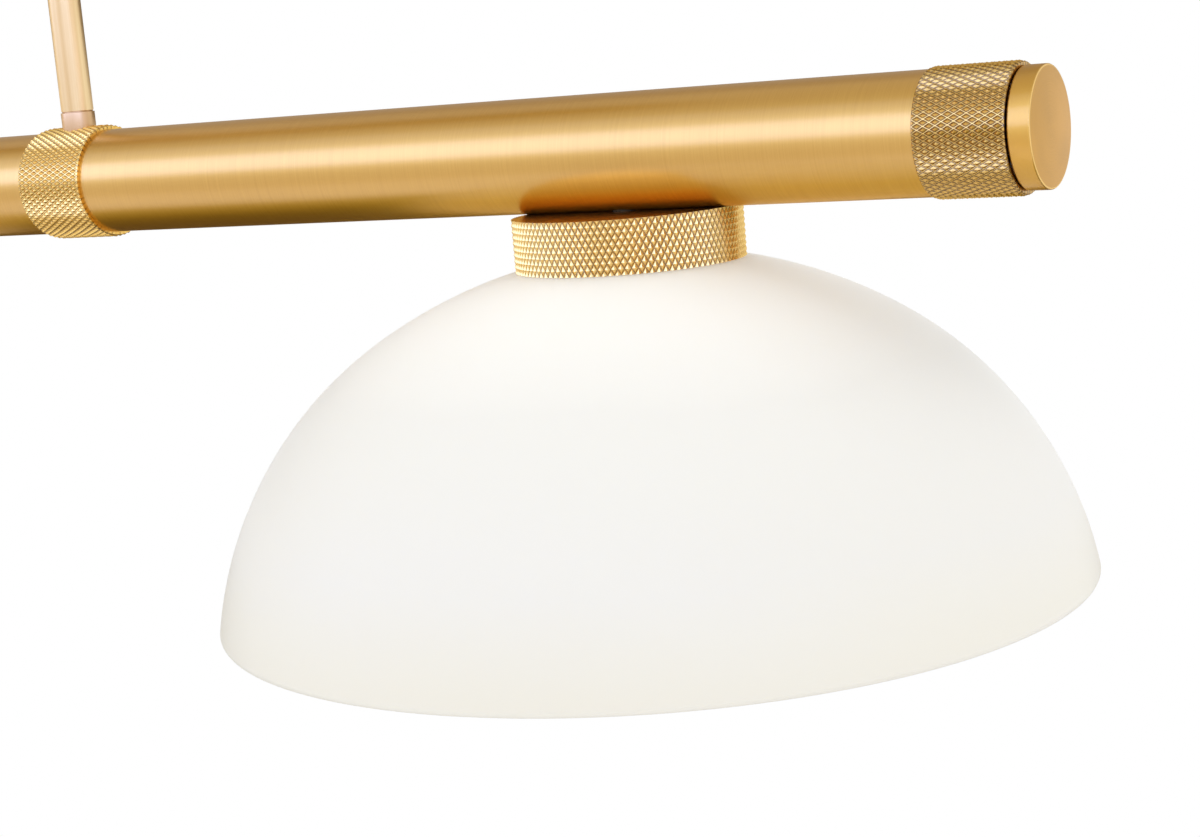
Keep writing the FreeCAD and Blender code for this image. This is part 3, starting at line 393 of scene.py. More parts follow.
BRASS_DEEP, BRASS_PALE = (0.58, 0.305, 0.026), (0.66, 0.362, 0.040)
FACED_DEEP, FACED_PALE = (0.62, 0.325, 0.035), (0.72, 0.390, 0.060)
# The rods, ferrules, fitter caps and sleeves are the same brass as the bar and collars, painted
# paler and creamier: painted light for the brighter light that they reflect
ROD_LIT_DEEP, ROD_LIT_PALE = (0.70, 0.45, 0.17), (0.96, 0.74, 0.41)
FERRULE_LIT_DEEP, FERRULE_LIT_PALE = (0.60, 0.37, 0.17), (0.70, 0.45, 0.22)
COLLAR_FLANK, COLLAR_CREST = (0.52, 0.290, 0.038), (0.68, 0.410, 0.075)
FITTER_LIT_FLANK, FITTER_LIT_CREST = (0.66, 0.395, 0.075), (0.92, 0.640, 0.210)
SLEEVE_LIT_FLANK, SLEEVE_LIT_CREST = (0.84, 0.500, 0.090), (0.98, 0.700, 0.230)
# The colour of the painted shade at the feet of knurled points, in the hollows between them
PAINTED_FEET_SHADE = (0.09, 0.040, 0.006)
EDGE_TINT = (1.0, 0.80, 0.50, 1.0)
# Tones on the end caps: the face painted a little darker, a painted shade, the chamfer painted
# pale and creamy, a painted highlight, and the side as it is; then the share of the radius over
# which the face runs into the chamfer
FACE_SHADE_TONE, CHAMFER_HIGHLIGHT_TONE, SIDE_TONE = (0.88, 0.86, 0.84), (1.30, 1.60, 3.40), (1, 1, 1)
FACE_EDGE = 0.002
AROUND_BAR, ALONG_ROD = (2600, 30, 30), (420, 420, 5)
EVEN_GRAIN, TONE_CLOUDS, FACE_CLOUDS = (900, 900, 900), (7, 14, 14), (1, 60, 60)
# Slow random clouds of tone on the caps' faces, a painted uneven sheen: the lowest and highest
# scale of the tone, and the noise range that they span
FACE_SHEEN, FACE_SHEEN_RANGE = (0.92, 1.05), (0.35, 0.65)
RINGS_PER_METRE = 5200.0
FACED_COAT, FACED_STRETCH = 0.5, 0.6
LINES_SHARE, CLOUDS_SHARE = 0.65, 0.35
BRUSHED_CHANGE = 0.04
BRUSHED_RELIEF, KNURLED_RELIEF = 0.15, 0.05
BRASS_GRAIN_DEPTH = 0.00001
COAT_IOR = 1.8
BRUSHED_COAT_ROUGHNESS, FACED_COAT_ROUGHNESS, KNURLED_COAT_ROUGHNESS = 0.26, 0.2, 0.14

# Knurled brass: the heights of the floors, painted bright as a painted highlight, of the dark
# feet, painted shade in the hollows between the points, and of the tips, the rise from the feet
# to the flanks, the grain's share, and the roughness over a range of heights
FLOOR_HIGHLIGHT_HEIGHT, SHADED_FEET_HEIGHT, TIP_HEIGHT, FLANK_RISE = 0.02, 0.05, 0.95, 0.1
KNURLED_GRAIN = 0.1
KNURLED_ROUGHNESS, KNURLED_ROUGHNESS_RANGE = (0.26, 0.20), (0.2, 1.0)

# The lacquer on the tube's underside, thinned there as a painted shade that dims its
# reflections:
# the share of its weight there, and the drops below the tube's axis between which it thickens
UNDERSIDE_SHADE_COAT = 0.3
THIN_COAT_DROP, FULL_COAT_DROP = 0.0135, 0.0085


def lacquered(name, coat, coat_roughness, **constants):
    """Brass under a thin hard lacquer, whose own sharper reflection pales the highlights."""
    return new_finish(name, Metallic=1.0, Specular_Tint=EDGE_TINT, Coat_Weight=coat,
                      Coat_IOR=COAT_IOR, Coat_Roughness=coat_roughness, **constants)


def brushed_brass(name, deep, pale, grain, roughness=0.38, coat=1.0, shade_coat_levels=None):
    """Satin brass: fine brushed lines and a slow change of tone. With levels given, the lacquer
    is thinned to a share of its weight below the lower level, a painted shade that dims the
    reflections on the underside, and thickens back to full weight up to the higher level."""
    material, tree, shader = lacquered(name, coat, BRUSHED_COAT_ROUGHNESS)
    if shade_coat_levels is not None:
        feed(tree, shader, Coat_Weight=spread(tree, object_height(tree), UNDERSIDE_SHADE_COAT * coat,
                                              coat, shade_coat_levels))
    lines = object_noise(tree, grain, detail=4.0, roughness=0.65)
    clouds = object_noise(tree, TONE_CLOUDS, detail=2.0)
    tone = math_node(tree, "ADD", math_node(tree, "MULTIPLY", lines, LINES_SHARE),
                     math_node(tree, "MULTIPLY", clouds, CLOUDS_SHARE))
    feed(tree, shader, Base_Color=two_tones(tree, tone, deep, pale),
         Roughness=spread(tree, tone, roughness + BRUSHED_CHANGE, roughness - BRUSHED_CHANGE),
         Normal=bump(tree, lines, BRUSHED_RELIEF, BRASS_GRAIN_DEPTH))
    return material


def faced_brass(name, deep, pale, roughness=0.34):
    """Brass faced on a lathe: fine rings round the piece's own axis, by the reach kept with
    its points, which draw its reflections out into a fan. The face is painted a little darker
    than the side, as painted shade, and in slow random clouds of tone, as a painted uneven
    sheen, and the chamfer between them is painted pale, as a painted highlight."""
    material, tree, shader = lacquered(name, FACED_COAT, FACED_COAT_ROUGHNESS,
                                       Anisotropic=FACED_STRETCH)
    fan = add(tree, "ShaderNodeTangent", {"direction_type": "RADIAL", "axis": "X"})
    reach = attribute(tree, "reach")
    rings = add(tree, "ShaderNodeTexNoise", {"noise_dimensions": "1D"},
                W=math_node(tree, "MULTIPLY", reach, RINGS_PER_METRE), Scale=1.0, Detail=2.0)
    lines = rings.outputs["Fac"]
    inner = (CAP_RADIUS - CAP_CHAMFER) / CAP_RADIUS
    outer = (CAP_RADIUS - CAP_CHAMFER / 2) / CAP_RADIUS
    # Painted shade on the face and a painted highlight on the chamfer, by the share of the
    # radius
    tone = ramp(tree, math_node(tree, "DIVIDE", reach, CAP_RADIUS),
                (inner - FACE_EDGE, FACE_SHADE_TONE), (inner, CHAMFER_HIGHLIGHT_TONE), (outer, CHAMFER_HIGHLIGHT_TONE),
                (1.0, SIDE_TONE))
    # Slow random clouds that scale the tone: a painted uneven sheen on the face
    sheen_clouds = spread(tree, object_noise(tree, FACE_CLOUDS, detail=1.0), *FACE_SHEEN,
                  FACE_SHEEN_RANGE)
    worn = add(tree, "ShaderNodeVectorMath", {"operation": "SCALE"}, Vector=tone, Scale=sheen_clouds)
    colour = add(tree, "ShaderNodeVectorMath", {"operation": "MULTIPLY"})
    tree.links.new(two_tones(tree, lines, deep, pale), colour.inputs[0])
    tree.links.new(worn.outputs["Vector"], colour.inputs[1])
    feed(tree, shader, Tangent=fan.outputs["Tangent"], Base_Color=colour.outputs["Vector"],
         Roughness=spread(tree, lines, roughness + BRUSHED_CHANGE, roughness - BRUSHED_CHANGE),
         Normal=bump(tree, lines, BRUSHED_RELIEF, BRASS_GRAIN_DEPTH))
    return material


def knurled_brass(name, flank, crest, coat=0.6, groove=0.12):
    """Brass with clean cut points, with groove floors painted bright, a painted highlight, and,
    up to the height groove, the feet of the points painted dark, a painted shade in the
    hollows, by the height kept with the points of the mesh."""
    material, tree, shader = lacquered(name, coat, KNURLED_COAT_ROUGHNESS)
    height = attribute(tree, "height")
    grain = math_node(tree, "SUBTRACT", object_noise(tree, EVEN_GRAIN), NOISE_MIDDLE)
    tone = math_node(tree, "ADD", height, math_node(tree, "MULTIPLY", grain, KNURLED_GRAIN))
    # Colour by height: floors painted bright, a painted highlight, feet painted dark, a painted
    # shade, then the flanks and paler tips
    feed(tree, shader,
         Base_Color=ramp(tree, tone, (FLOOR_HIGHLIGHT_HEIGHT, crest), (SHADED_FEET_HEIGHT, PAINTED_FEET_SHADE),
                         (groove, PAINTED_FEET_SHADE), (groove + FLANK_RISE, flank),
                         (TIP_HEIGHT, crest)),
         Roughness=spread(tree, tone, *KNURLED_ROUGHNESS, KNURLED_ROUGHNESS_RANGE),
         Normal=bump(tree, grain, KNURLED_RELIEF, BRASS_GRAIN_DEPTH))
    return material


# Opal glass: its depth in the red, green and blue of its glow, the clouds' scale and how
# far they shift its tones, and the height over which the tones run up from the rim

GLASS_DEPTHS = (1.0, 0.95, 0.85)
GLASS_CLOUDS = (11, 11, 17)
CLOUD_SHIFT = 0.012
TONE_HEIGHT = 0.12
# Tones up from the rim: warmer at the rim, where the opal layer runs thin, and brighter towards
# the crown, a painted highlight for the light from above
RIM_TINT_AND_TOP_LIGHT = ((0.0, (0.93, 0.86, 0.73)), (0.15, (0.93, 0.88, 0.78)),
               (0.27, (0.915, 0.885, 0.82)), (0.9, (0.985, 0.955, 0.88)))
# A glow at the crown under the bar, painted light that lifts the bar's shade there, and the
# share of the height over which it comes in
PAINTED_CROWN_LIGHT, CROWN_LIGHT_RANGE = 0.12, (0.66, 0.94)
GLASS_ROUGHNESS = (0.38, 0.48)
GLASS_RELIEF, GLASS_GRAIN_DEPTH = 0.08, 0.00002


def opal_glass(name, level):
    """Satin opal glass: nearly white, a little warmer towards its rim, where the opal layer
    runs thin, painted brighter towards the crown as a painted highlight, and with faint uneven
    clouds in its thickness. The crown, under the bar, glows a little: painted light that lifts
    the bar's shade there. level is the rim's height."""
    material, tree, shader = new_finish(
        name, Specular_IOR_Level=0.15, Subsurface_Weight=0.7, Subsurface_Scale=0.02,
        Subsurface_Radius=GLASS_DEPTHS)
    clouds = math_node(tree, "SUBTRACT", object_noise(tree, GLASS_CLOUDS, detail=2.0),
                       NOISE_MIDDLE)
    height = math_node(tree, "ADD", math_node(tree, "SUBTRACT", object_height(tree), level),
                       math_node(tree, "MULTIPLY", clouds, CLOUD_SHIFT))
    share = spread(tree, height, 0.0, 1.0, (0.0, TONE_HEIGHT))
    colour = ramp(tree, share, *RIM_TINT_AND_TOP_LIGHT)
    fine = object_noise(tree, EVEN_GRAIN)
    # The crown's glow is painted light, and the tones brighten towards the crown as a painted
    # highlight
    feed(tree, shader, Base_Color=colour, Emission_Color=colour,
         Emission_Strength=spread(tree, share, 0.0, PAINTED_CROWN_LIGHT, CROWN_LIGHT_RANGE),
         Roughness=spread(tree, fine, *GLASS_ROUGHNESS),
         Normal=bump(tree, fine, GLASS_RELIEF, GLASS_GRAIN_DEPTH))
    return material


MOULDED_CHANGE = 0.06
MOULDED_GRAIN_DEPTH = 0.00003


def moulded(name, deep, pale, roughness, grain=1400, relief=0.1, **constants):
    """A plain finish with fine even grain in its colour, roughness and surface."""
    material, tree, shader = new_finish(name, **constants)
    fine = object_noise(tree, (grain, grain, grain))
    feed(tree, shader, Base_Color=two_tones(tree, fine, deep, pale),
         Roughness=spread(tree, fine, roughness - MOULDED_CHANGE, roughness + MOULDED_CHANGE),
         Normal=bump(tree, fine, relief, MOULDED_GRAIN_DEPTH))
    return material


def bare_metal(name, deep, pale, roughness, grain, relief=0.1):
    """A moulded finish that is metal."""
    return moulded(name, deep, pale, roughness, grain, relief, Metallic=1.0)


# The finishes

# The bar's lacquer is thinned on its underside: a painted shade that dims the glass's
# reflection there
shade_coat_levels = (bar_centre.z - THIN_COAT_DROP, bar_centre.z - FULL_COAT_DROP)
bar_brass = brushed_brass("bar_brass", BRASS_DEEP, BRASS_PALE, AROUND_BAR,
                          shade_coat_levels=shade_coat_levels)
# The rods and ferrules take their paler, painted-lit colours
rod_brass = brushed_brass("rod_brass", ROD_LIT_DEEP, ROD_LIT_PALE, ALONG_ROD, roughness=0.32, coat=0.5)
ferrule_brass = brushed_brass("ferrule_brass", FERRULE_LIT_DEEP, FERRULE_LIT_PALE, ALONG_ROD,
                              roughness=0.36, coat=0.4)
canopy_brass = brushed_brass("canopy_brass", BRASS_DEEP, BRASS_PALE, EVEN_GRAIN)
swivel_brass = brushed_brass("swivel_brass", ROD_LIT_DEEP, ROD_LIT_PALE, EVEN_GRAIN, roughness=0.24)
cap_brass = faced_brass("cap_brass", FACED_DEEP, FACED_PALE)
collar_brass = knurled_brass("collar_brass", COLLAR_FLANK, COLLAR_CREST, groove=0.18)
fitter_brass = knurled_brass("fitter_brass", FITTER_LIT_FLANK, FITTER_LIT_CREST, groove=0.10)
sleeve_brass = knurled_brass("sleeve_brass", SLEEVE_LIT_FLANK, SLEEVE_LIT_CREST, coat=0.4)
dome_glass = opal_glass("dome_glass", level=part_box("shade_3")[0].z)
bulb_frost = moulded("bulb_frost", (0.86, 0.86, 0.84), (0.92, 0.92, 0.90), roughness=0.5,
                     grain=900, Subsurface_Weight=0.3, Subsurface_Scale=0.004)
nickel = bare_metal("nickel", (0.55, 0.54, 0.51), (0.66, 0.65, 0.62), roughness=0.28,
                    grain=1200)
contact_metal = bare_metal("contact_metal", (0.62, 0.42, 0.16), (0.75, 0.53, 0.24),
                           roughness=0.35, grain=1500)
steel = bare_metal("steel", (0.50, 0.51, 0.53), (0.62, 0.63, 0.64), roughness=0.36,
                   grain=700, relief=0.15)
dark_steel = moulded("dark_steel", (0.06, 0.055, 0.045), (0.09, 0.080, 0.065), roughness=0.7,
                     grain=900, Specular_IOR_Level=0.03)
aluminium = bare_metal("aluminium", (0.66, 0.67, 0.68), (0.76, 0.76, 0.77), roughness=0.34,
                       grain=1100, relief=0.12)
socket_resin = moulded("socket_resin", (0.80, 0.79, 0.75), (0.86, 0.85, 0.81), roughness=0.42)
ring_resin = moulded("ring_resin", (0.78, 0.77, 0.73), (0.85, 0.84, 0.80), roughness=0.46)
rubber = moulded("rubber", (0.70, 0.70, 0.68), (0.80, 0.80, 0.78), roughness=0.7, grain=1800,
                 relief=0.2)
dark_glass = moulded("dark_glass", (0.02, 0.02, 0.022), (0.04, 0.04, 0.045), roughness=0.15,
                     grain=900, relief=0.03)
green_paint = moulded("green_paint", (0.02, 0.22, 0.07), (0.03, 0.30, 0.10), roughness=0.38,
                      grain=1200)


# The CAD nodes that keep their own shape

KEPT = {
    canopy_brass: ("canopy", "canopy_cap_nuts"),
    rod_brass: ("rod_joints",),
    swivel_brass: ("swivel_cups", "swivel_nipples", "swivel_ball_left",
                   "swivel_ball_right"),
    steel: ("crossbar", "canopy_studs", "swivel_lock_nuts", "lock_nuts", "saddle_washers"),
    dark_steel: ("stem_nipples", "light_nipples"),
    aluminium: ("end_plugs",),
    green_paint: ("ground_screw",),
    socket_resin: tuple(f"socket_{k}" for k in LIGHTS),
    nickel: tuple(f"socket_shell_{k}" for k in LIGHTS),
    contact_metal: tuple(f"socket_contact_{k}" for k in LIGHTS),
    dark_glass: tuple(f"bulb_contact_{k}" for k in LIGHTS),
    rubber: tuple(f"shade_gasket_{k}" for k in LIGHTS),
    ring_resin: tuple(f"shade_ring_{k}" for k in LIGHTS),
}
for finish, names in KEPT.items():
    for name in names:
        mesh = nodes[name].data
        mesh.materials.clear()
        mesh.materials.append(finish)


# Bar, sleeves, collars and caps

def knurled_band(name, node, outward, bore, finish):
    """A knurled ring round the bar, with chamfered ends, in place of a node. outward is 1
    where the ring runs from left to right, and -1 from right to left."""
    centre, half = middle(node)
    inner, outer = -half.x * outward, half.x * outward
    lip = half.z - BAND_CHAMFER
    wall = knurled_wall(inner, outer, half.z, BAND_CHAMFER, FLAT_GROOVE)
    # The band's plain ends are painted darker: painted shade where it meets the tube or cap
    knurled_piece(name, wall, [(inner, bore), (inner, lip)], [(outer, lip), (outer, bore)],
                  "x", centre, finish, node, end_tone=BAND_END_SHADE)
    return centre.x + outer


def cap_profile(face, collar_end, radius, outward):
    """An end cap's section from the middle of its face: a disc, then a neck that goes into
    the collar and leaves a narrow gap."""
    disc, neck_end = collar_end + CAP_GAP * outward - face, collar_end - face
    return rounded([(0, 0), (0, radius), (disc, radius), (disc, CAP_NECK),
                    (neck_end, CAP_NECK), (neck_end, 0)], CAP_CHAMFER)


bar_radius = bar_half.z
bar_bore = bar_radius - TUBE_WALL
tube = rounded([(0, bar_bore), (-bar_half.x, bar_bore), (-bar_half.x, bar_radius),
                (bar_half.x, bar_radius), (bar_half.x, bar_bore), (0, bar_bore)], TUBE_EDGE)
turned_piece("bar_tube", tube, "x", bar_centre, bar_brass, "bar",
             "main_tube", columns=FINE_TURN_STEPS)

for side in SIDES:
    outward = -1 if side == "left" else 1
    knurled_band(f"sleeve_{side}", f"rod_sleeve_{side}", 1, SLEEVE_BORE, sleeve_brass)
    collar_end = knurled_band(f"collar_{side}", f"end_collar_{side}", outward, PLUG_BORE,
                              collar_brass)
    low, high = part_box(f"end_cap_{side}")
    face = high.x if side == "right" else low.x
    profile = cap_profile(face, collar_end, (high.z - low.z) / 2, outward)
    turned_piece(f"cap_{side}", profile, "x", (face, bar_centre.y, bar_centre.z), cap_brass,
                 "bar", f"end_cap_{side}", crease=CAP_CREASE)


# Down rods and the ferrules at their feet

ROD_PARTS = {
    "rod_upper": (rod_brass, None),
    "rod_lower": (rod_brass, None),
    "rod_ferrule": (ferrule_brass, FERRULE_NECK),
}


def rod_profile(top, foot, radius, neck):
    """A tube's section from the middle of its bore round to the same point; with a neck, a
    narrow groove runs round just under its top."""
    start = ((top + foot) / 2, ROD_BORE)
    if neck is None:
        head = [(top, radius)]
    else:
        head = [(top, neck), (top - FERRULE_GROOVE, neck), (top - FERRULE_GROOVE, radius)]
    return rounded([start, (top, ROD_BORE), *head, (foot, radius), (foot, ROD_BORE), start],
                   ROD_EDGE)


for side in SIDES:
    for part, (finish, neck) in ROD_PARTS.items():
        centre, half = middle(f"{part}_{side}")
        profile = rod_profile(half.z, -half.z, half.x, neck)
        turned_piece(f"{part}_turned_{side}", profile, "z", centre, finish, "bar",
                     f"{part}_{side}", columns=ROD_TURN_STEPS)


# Fitter cap, glass dome, bulb and its base at each light

def dome_profile():
    """The glass's closed section as (height, reach) from the top of its crown: two arcs that
    share a tangent at the shoulder, outside and inside, a rim whose two edges are rounded by
    a ball that rolls between the skirt and the rim's level, a flat pad under the gasket and
    the edge of the hole. Every arc is drop = d - r * cos(a), reach = c + r * sin(a), and the
    height is the drop turned round."""
    shoulder = math.radians(SHOULDER_ANGLE)
    rim = math.radians(90 - RIM_LEAN)
    depth = DOME_FOOT - DOME_CROWN
    crown_rise, crown_reach = 1 - math.cos(shoulder), math.sin(shoulder)
    skirt_rise = math.cos(shoulder) - math.cos(rim)
    skirt_reach = math.sin(rim) - math.sin(shoulder)
    share = crown_reach * skirt_rise - crown_rise * skirt_reach
    crown = (skirt_rise * DOME_RIM - skirt_reach * depth) / share
    skirt = (crown_reach * depth - crown_rise * DOME_RIM) / share
    turn_reach = (crown - skirt) * math.sin(shoulder)
    turn_drop = crown - (crown - skirt) * math.cos(shoulder)

    def arc(drop, reach, radius, start, end, steps):
        angle = np.linspace(start, end, steps)
        return np.stack([drop - radius * np.cos(angle), reach + radius * np.sin(angle)], axis=1)

    def wall(inset, ball_inset):
        """One side of the wall, the place of the ball at its rim and where the two meet."""
        ball_drop = depth - LIP_RADIUS
        away = skirt - ball_inset
        ball_reach = math.sqrt(away ** 2 - (ball_drop - turn_drop) ** 2)
        meet = math.atan2(ball_reach, turn_drop - ball_drop)
        start = math.asin(PAD_RADIUS / (crown - inset))
        upper = arc(crown, 0, crown - inset, start, shoulder, ARC_STEPS)
        lower = arc(turn_drop, turn_reach, skirt - inset, shoulder, meet, ARC_STEPS)
        return np.concatenate([upper, lower[1:]]), (ball_drop, turn_reach + ball_reach), meet

    outside, outer_ball, outer_meet = wall(0, LIP_RADIUS)
    inside, inner_ball, inner_meet = wall(DOME_WALL, DOME_WALL - LIP_RADIUS)
    outer_lip = arc(*outer_ball, LIP_RADIUS, outer_meet, math.pi, LIP_STEPS)
    inner_lip = arc(*inner_ball, LIP_RADIUS, math.pi, math.pi + inner_meet, LIP_STEPS)
    pad_base = inside[0][0]
    pad_top = pad_base - DOME_WALL
    hole = rounded([inside[0], (pad_base, HOLE_RADIUS), (pad_top, HOLE_RADIUS),
                    (pad_top, PAD_RADIUS)], HOLE_EDGE)
    section = np.concatenate([outside, outer_lip[1:], inner_lip, inside[::-1][1:], hole[1:],
                              outside[:1]])
    drop_to_height = (-1, 1)
    return section * drop_to_height


def bulb_profile(top):
    """The envelope's outline as (height, reach): a globe, then the neck's shoulder as the
    parabola (1-t)^2 * start + 2t(1-t) * pulled + t^2 * end, and the neck up to the top."""
    neck_rise = math.sqrt(BULB_RADIUS ** 2 - BULB_NECK ** 2)
    last = math.pi - math.asin(BULB_NECK / BULB_RADIUS) - BULB_BLEND
    angle = np.linspace(0, last, ARC_STEPS)
    globe = np.stack([-BULB_CENTRE - BULB_RADIUS * np.cos(angle),
                      BULB_RADIUS * np.sin(angle)], axis=1)
    start = globe[-1]
    end = np.array([-BULB_CENTRE + neck_rise + BULB_SHOULDER, BULB_NECK])
    pulled = np.array([end[0] - BULB_PULL, end[1]])
    share = np.linspace(0, 1, ARC_STEPS)[1:, None]
    shoulder = (1 - share) ** 2 * start + 2 * share * (1 - share) * pulled + share ** 2 * end
    return np.concatenate([globe, shoulder, [(top, BULB_NECK), (top, 0)]])


def make_fitter(light):
    """The knurled cup under the bar: its wall, its seat for the glass and its plate."""
    low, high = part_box(f"fitter_cap_{light}")
    centre, half = middle(f"fitter_cap_{light}")
    top, foot, radius = high.z - bar_centre.z, low.z - bar_centre.z, half.x
    inner = radius - FITTER_WALL
    lip = radius - KNURL_DEPTH - FITTER_EDGE_GAP
    knurled_piece(
        f"fitter_{light}", knurled_wall(top, foot, radius, SHARP_EDGE, SHARP_GROOVE),
        [(top, FITTER_HOLE), (top, lip)],
        [(foot, lip), (foot, inner + SEAT_CHAMFER / 2), (foot + SEAT_CHAMFER, inner),
         (top - FITTER_PLATE, inner), (top - FITTER_PLATE, FITTER_HOLE)],
        "z", (centre.x, centre.y, bar_centre.z), fitter_brass, f"fitter_cap_{light}")


def make_bulb_base(light, place):
    """The bulb's screw base: a rounded head, a rolled thread and a lip at the foot."""
    low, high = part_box(f"bulb_base_{light}")
    top, foot = high.z - bar_centre.z, low.z - bar_centre.z
    radius = (high.x - low.x) / 2
    along, reach = threaded_rows(top - THREAD_FROM_TOP, foot + THREAD_FROM_FOOT, radius)
    columns = reach.shape[1]
    head_along, head_reach = swept([(top, 0), (top, HEAD_RADIUS), (top - HEAD_DROP, HEAD_SIDE)],
                                   columns)
    foot_along, foot_reach = swept(
        [(foot, radius), (foot, BULB_NECK), (foot + THREAD_FROM_FOOT, BULB_NECK - BASE_LIP),
         (foot + THREAD_FROM_FOOT, 0)], columns)
    mesh = turned_mesh(f"bulb_screw_{light}", np.concatenate([head_along, along, foot_along]),
                       np.concatenate([head_reach, reach, foot_reach]), "z", place)
    make_piece(f"bulb_screw_{light}", mesh, nickel, f"bulb_{light}",
               f"bulb_base_{light}")


dome = dome_profile()
for light in LIGHTS:
    centre = middle(f"fitter_cap_{light}")[0]
    axis_place = (centre.x, centre.y, bar_centre.z)
    crown_place = (centre.x, centre.y, bar_centre.z - DOME_CROWN)
    make_fitter(light)
    turned_piece(f"dome_{light}", dome, "z", crown_place, dome_glass, f"glass_{light}",
                 f"shade_{light}", columns=FINE_TURN_STEPS,
                 crease=GLASS_CREASE)
    bulb_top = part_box(f"bulb_{light}")[1].z - bar_centre.z
    turned_piece(f"bulb_glass_{light}", bulb_profile(bulb_top), "z", axis_place, bulb_frost,
                 f"bulb_{light}", f"bulb_{light}", crease=GLASS_CREASE)
    make_bulb_base(light, axis_place)


# Camera, at the photograph's place, a little above the bar and past its right-hand end; its
# lens and film are in millimetres

EYE = (0.9371, -0.6517, -0.5089)
HEADING, PITCH, ROLL = 31.210, -9.441, -4.854
LENS, FILM_WIDTH = 66.073, 36.0
NEAREST = 0.01


def aimed(side, up, back, place):
    """The matrix that puts something at a place with these three directions as its own."""
    columns = np.array([side, up, back, place], float).T
    return Matrix(np.vstack([columns, (0, 0, 0, 1)]).tolist())


heading, pitch, roll = (math.radians(a) for a in (HEADING, PITCH, ROLL))
ahead = np.array([-math.sin(heading) * math.cos(pitch),
                  math.cos(heading) * math.cos(pitch), math.sin(pitch)])
level = np.array([math.cos(heading), math.sin(heading), 0])
upright = np.cross(level, ahead)
right = math.cos(roll) * level + math.sin(roll) * upright
above = -math.sin(roll) * level + math.cos(roll) * upright
lens = bpy.data.cameras.new("camera")
lens.sensor_fit = "HORIZONTAL"
lens.sensor_width = FILM_WIDTH
lens.lens = LENS
lens.clip_start = NEAREST
camera = bpy.data.objects.new("camera", lens)
bpy.context.scene.collection.objects.link(camera)
camera.matrix_world = aimed(right, above, -ahead, EYE)
bpy.context.scene.camera = camera


# Floor and reflected strips: each strip has its two angles above the front, as seen along
# the bar, the x of its right end and its glow

FLOOR_LEVEL, FLOOR_RADIUS, FLOOR_CORNERS = -1.5, 1.6, 96
STRIP_RADIUS = 0.9
STRIP_STEPS = 9
LEFT_END, RIGHT_END, AT_BAR_END = -3.0, 3.0, 0.82
STRIPS = {
    "key_strip": (8, 41, RIGHT_END, (1.95, 2.4, 4.4)),
    "over_key": (41, 66, RIGHT_END, (1.0, 1.07, 1.35)),
    "ceiling_near": (66, 120, RIGHT_END, (0.72, 0.67, 0.54)),
    "ceiling_far": (120, 165, AT_BAR_END, (0.46, 0.41, 0.34)),
    "behind_level": (165, 180, AT_BAR_END, (0.12, 0.10, 0.08)),
    "behind_low": (197, 250, AT_BAR_END, (0.12, 0.09, 0.05)),
    "floor_far": (-110, -86, RIGHT_END, (0.12, 0.09, 0.02)),
    "floor_middle": (-86, -64, RIGHT_END, (0.36, 0.28, 0.04)),
    "floor_near": (-64, -30, RIGHT_END, (1.12, 1.12, 1.24)),
    "front": (-30, 8, RIGHT_END, (0.88, 0.84, 0.84)),
}
CARD_CORNERS = [(2.2, -0.65, -1.2), (2.2, 0.45, -1.2), (2.2, 0.45, 0.3), (2.2, -0.65, 0.3)]
CARD_GLOW = (1.15, 1.15, 1.35)


def stage_sheet(name, corners, faces, material):
    """A sheet that isn't part of the pendant."""
    mesh = bpy.data.meshes.new(name)
    mesh.from_pydata(corners, [], faces)
    mesh.materials.append(material)
    sheet = bpy.data.objects.new(name, mesh)
    bpy.context.scene.collection.objects.link(sheet)
    return sheet


def reflected_sheet(name, corners, faces, glow):
    """A glowing sheet beside the pendant that only reflections see."""
    material = new_finish(name, Roughness=1.0, Base_Color=(0, 0, 0, 1),
                          Emission_Color=(*glow, 1), Emission_Strength=1.0)[0]
    sheet = stage_sheet(name, corners, faces, material)
    sheet.visible_camera = False
    sheet.visible_diffuse = False
    sheet.visible_transmission = False
    sheet.visible_shadow = False


def reflected_strip(name, start, end, right_end, glow):
    """A long glowing strip beside the bar."""
    angle = np.radians(np.linspace(start, end, STRIP_STEPS))
    y = bar_centre.y - STRIP_RADIUS * np.cos(angle)
    z = bar_centre.z + STRIP_RADIUS * np.sin(angle)
    low, high = (np.stack([np.full_like(y, x), y, z], axis=1) for x in (LEFT_END, right_end))
    first = np.arange(STRIP_STEPS - 1)
    faces = np.stack([first, first + 1, first + 1 + STRIP_STEPS, first + STRIP_STEPS], axis=1)
    reflected_sheet(name, np.concatenate([low, high]).tolist(), faces.tolist(), glow)


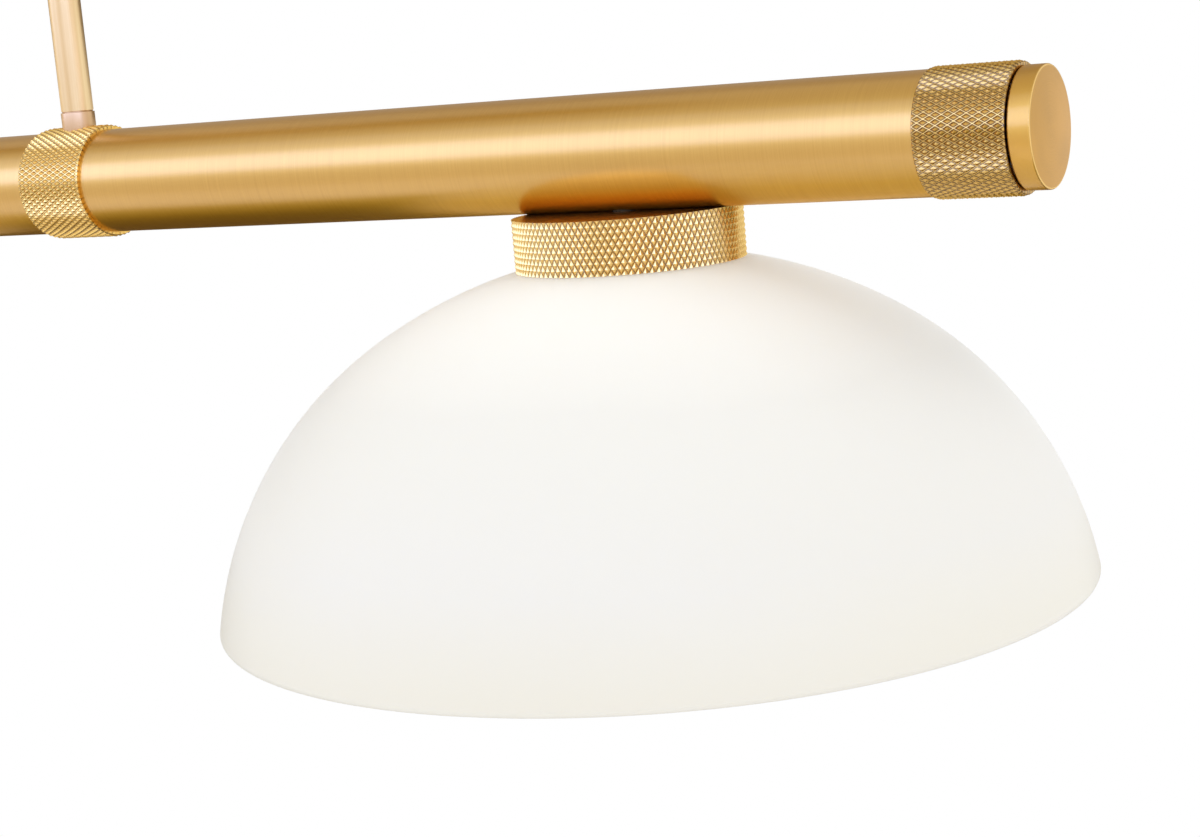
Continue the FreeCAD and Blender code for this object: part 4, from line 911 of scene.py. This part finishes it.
floor_paint = moulded("floor_paint", (0.80, 0.80, 0.79), (0.84, 0.84, 0.83), roughness=0.8,
                      grain=40, relief=0.05)
floor_turn = np.linspace(0, FULL_TURN, FLOOR_CORNERS, endpoint=False)
floor_edge = np.stack([FLOOR_RADIUS * np.cos(floor_turn), FLOOR_RADIUS * np.sin(floor_turn),
                       np.full(FLOOR_CORNERS, FLOOR_LEVEL)], axis=1)
stage_sheet("floor", floor_edge.tolist(), [tuple(range(FLOOR_CORNERS))], floor_paint)
for name, settings in STRIPS.items():
    reflected_strip(name, *settings)
reflected_sheet("right_card", CARD_CORNERS, [(0, 1, 2, 3)], CARD_GLOW)


# Lamp over the bar, with its power in watts, and a white background, whose light on matt
# surfaces is a little weaker than what is seen of it

LAMP_PLACE = (0.4, 0.0, 1.5)
LAMP_SIZE = (3.0, 2.0)
LAMP_POWER = 8.5
AMBIENT, BACKGROUND = 0.94, 1.0
WHITE = (1, 1, 1, 1)


def soft_light(name, place, target, size, power):
    """A soft box that faces the pendant and that reflections don't see."""
    light = bpy.data.lights.new(name, "AREA")
    light.shape = "RECTANGLE"
    light.size, light.size_y = size
    light.energy = power
    lamp = bpy.data.objects.new(name, light)
    bpy.context.scene.collection.objects.link(lamp)
    facing = np.array(target, float) - np.array(place, float)
    facing /= np.linalg.norm(facing)
    side = np.array([1.0, 0.0, 0.0])
    lamp.matrix_world = aimed(side, np.cross(-facing, side), -facing, place)
    lamp.visible_glossy = False


soft_light("over_lamp", LAMP_PLACE, bar_centre, LAMP_SIZE, LAMP_POWER)

world = bpy.data.worlds.new("studio")
bpy.context.scene.world = world
world.use_nodes = True
sky = world.node_tree
sky.nodes.clear()
path = add(sky, "ShaderNodeLightPath").outputs
seen = math_node(sky, "MAXIMUM", path["Is Camera Ray"],
                 math_node(sky, "MAXIMUM", path["Is Glossy Ray"],
                           path["Is Transmission Ray"]))
soft = add(sky, "ShaderNodeBackground", Color=WHITE, Strength=AMBIENT)
white = add(sky, "ShaderNodeBackground", Color=WHITE, Strength=BACKGROUND)
both = add(sky, "ShaderNodeMixShader", Fac=seen)
sky.links.new(soft.outputs["Background"], both.inputs[1])
sky.links.new(white.outputs["Background"], both.inputs[2])
output = add(sky, "ShaderNodeOutputWorld")
sky.links.new(both.outputs["Shader"], output.inputs["Surface"])

bpy.context.scene.view_settings.view_transform = "Standard"
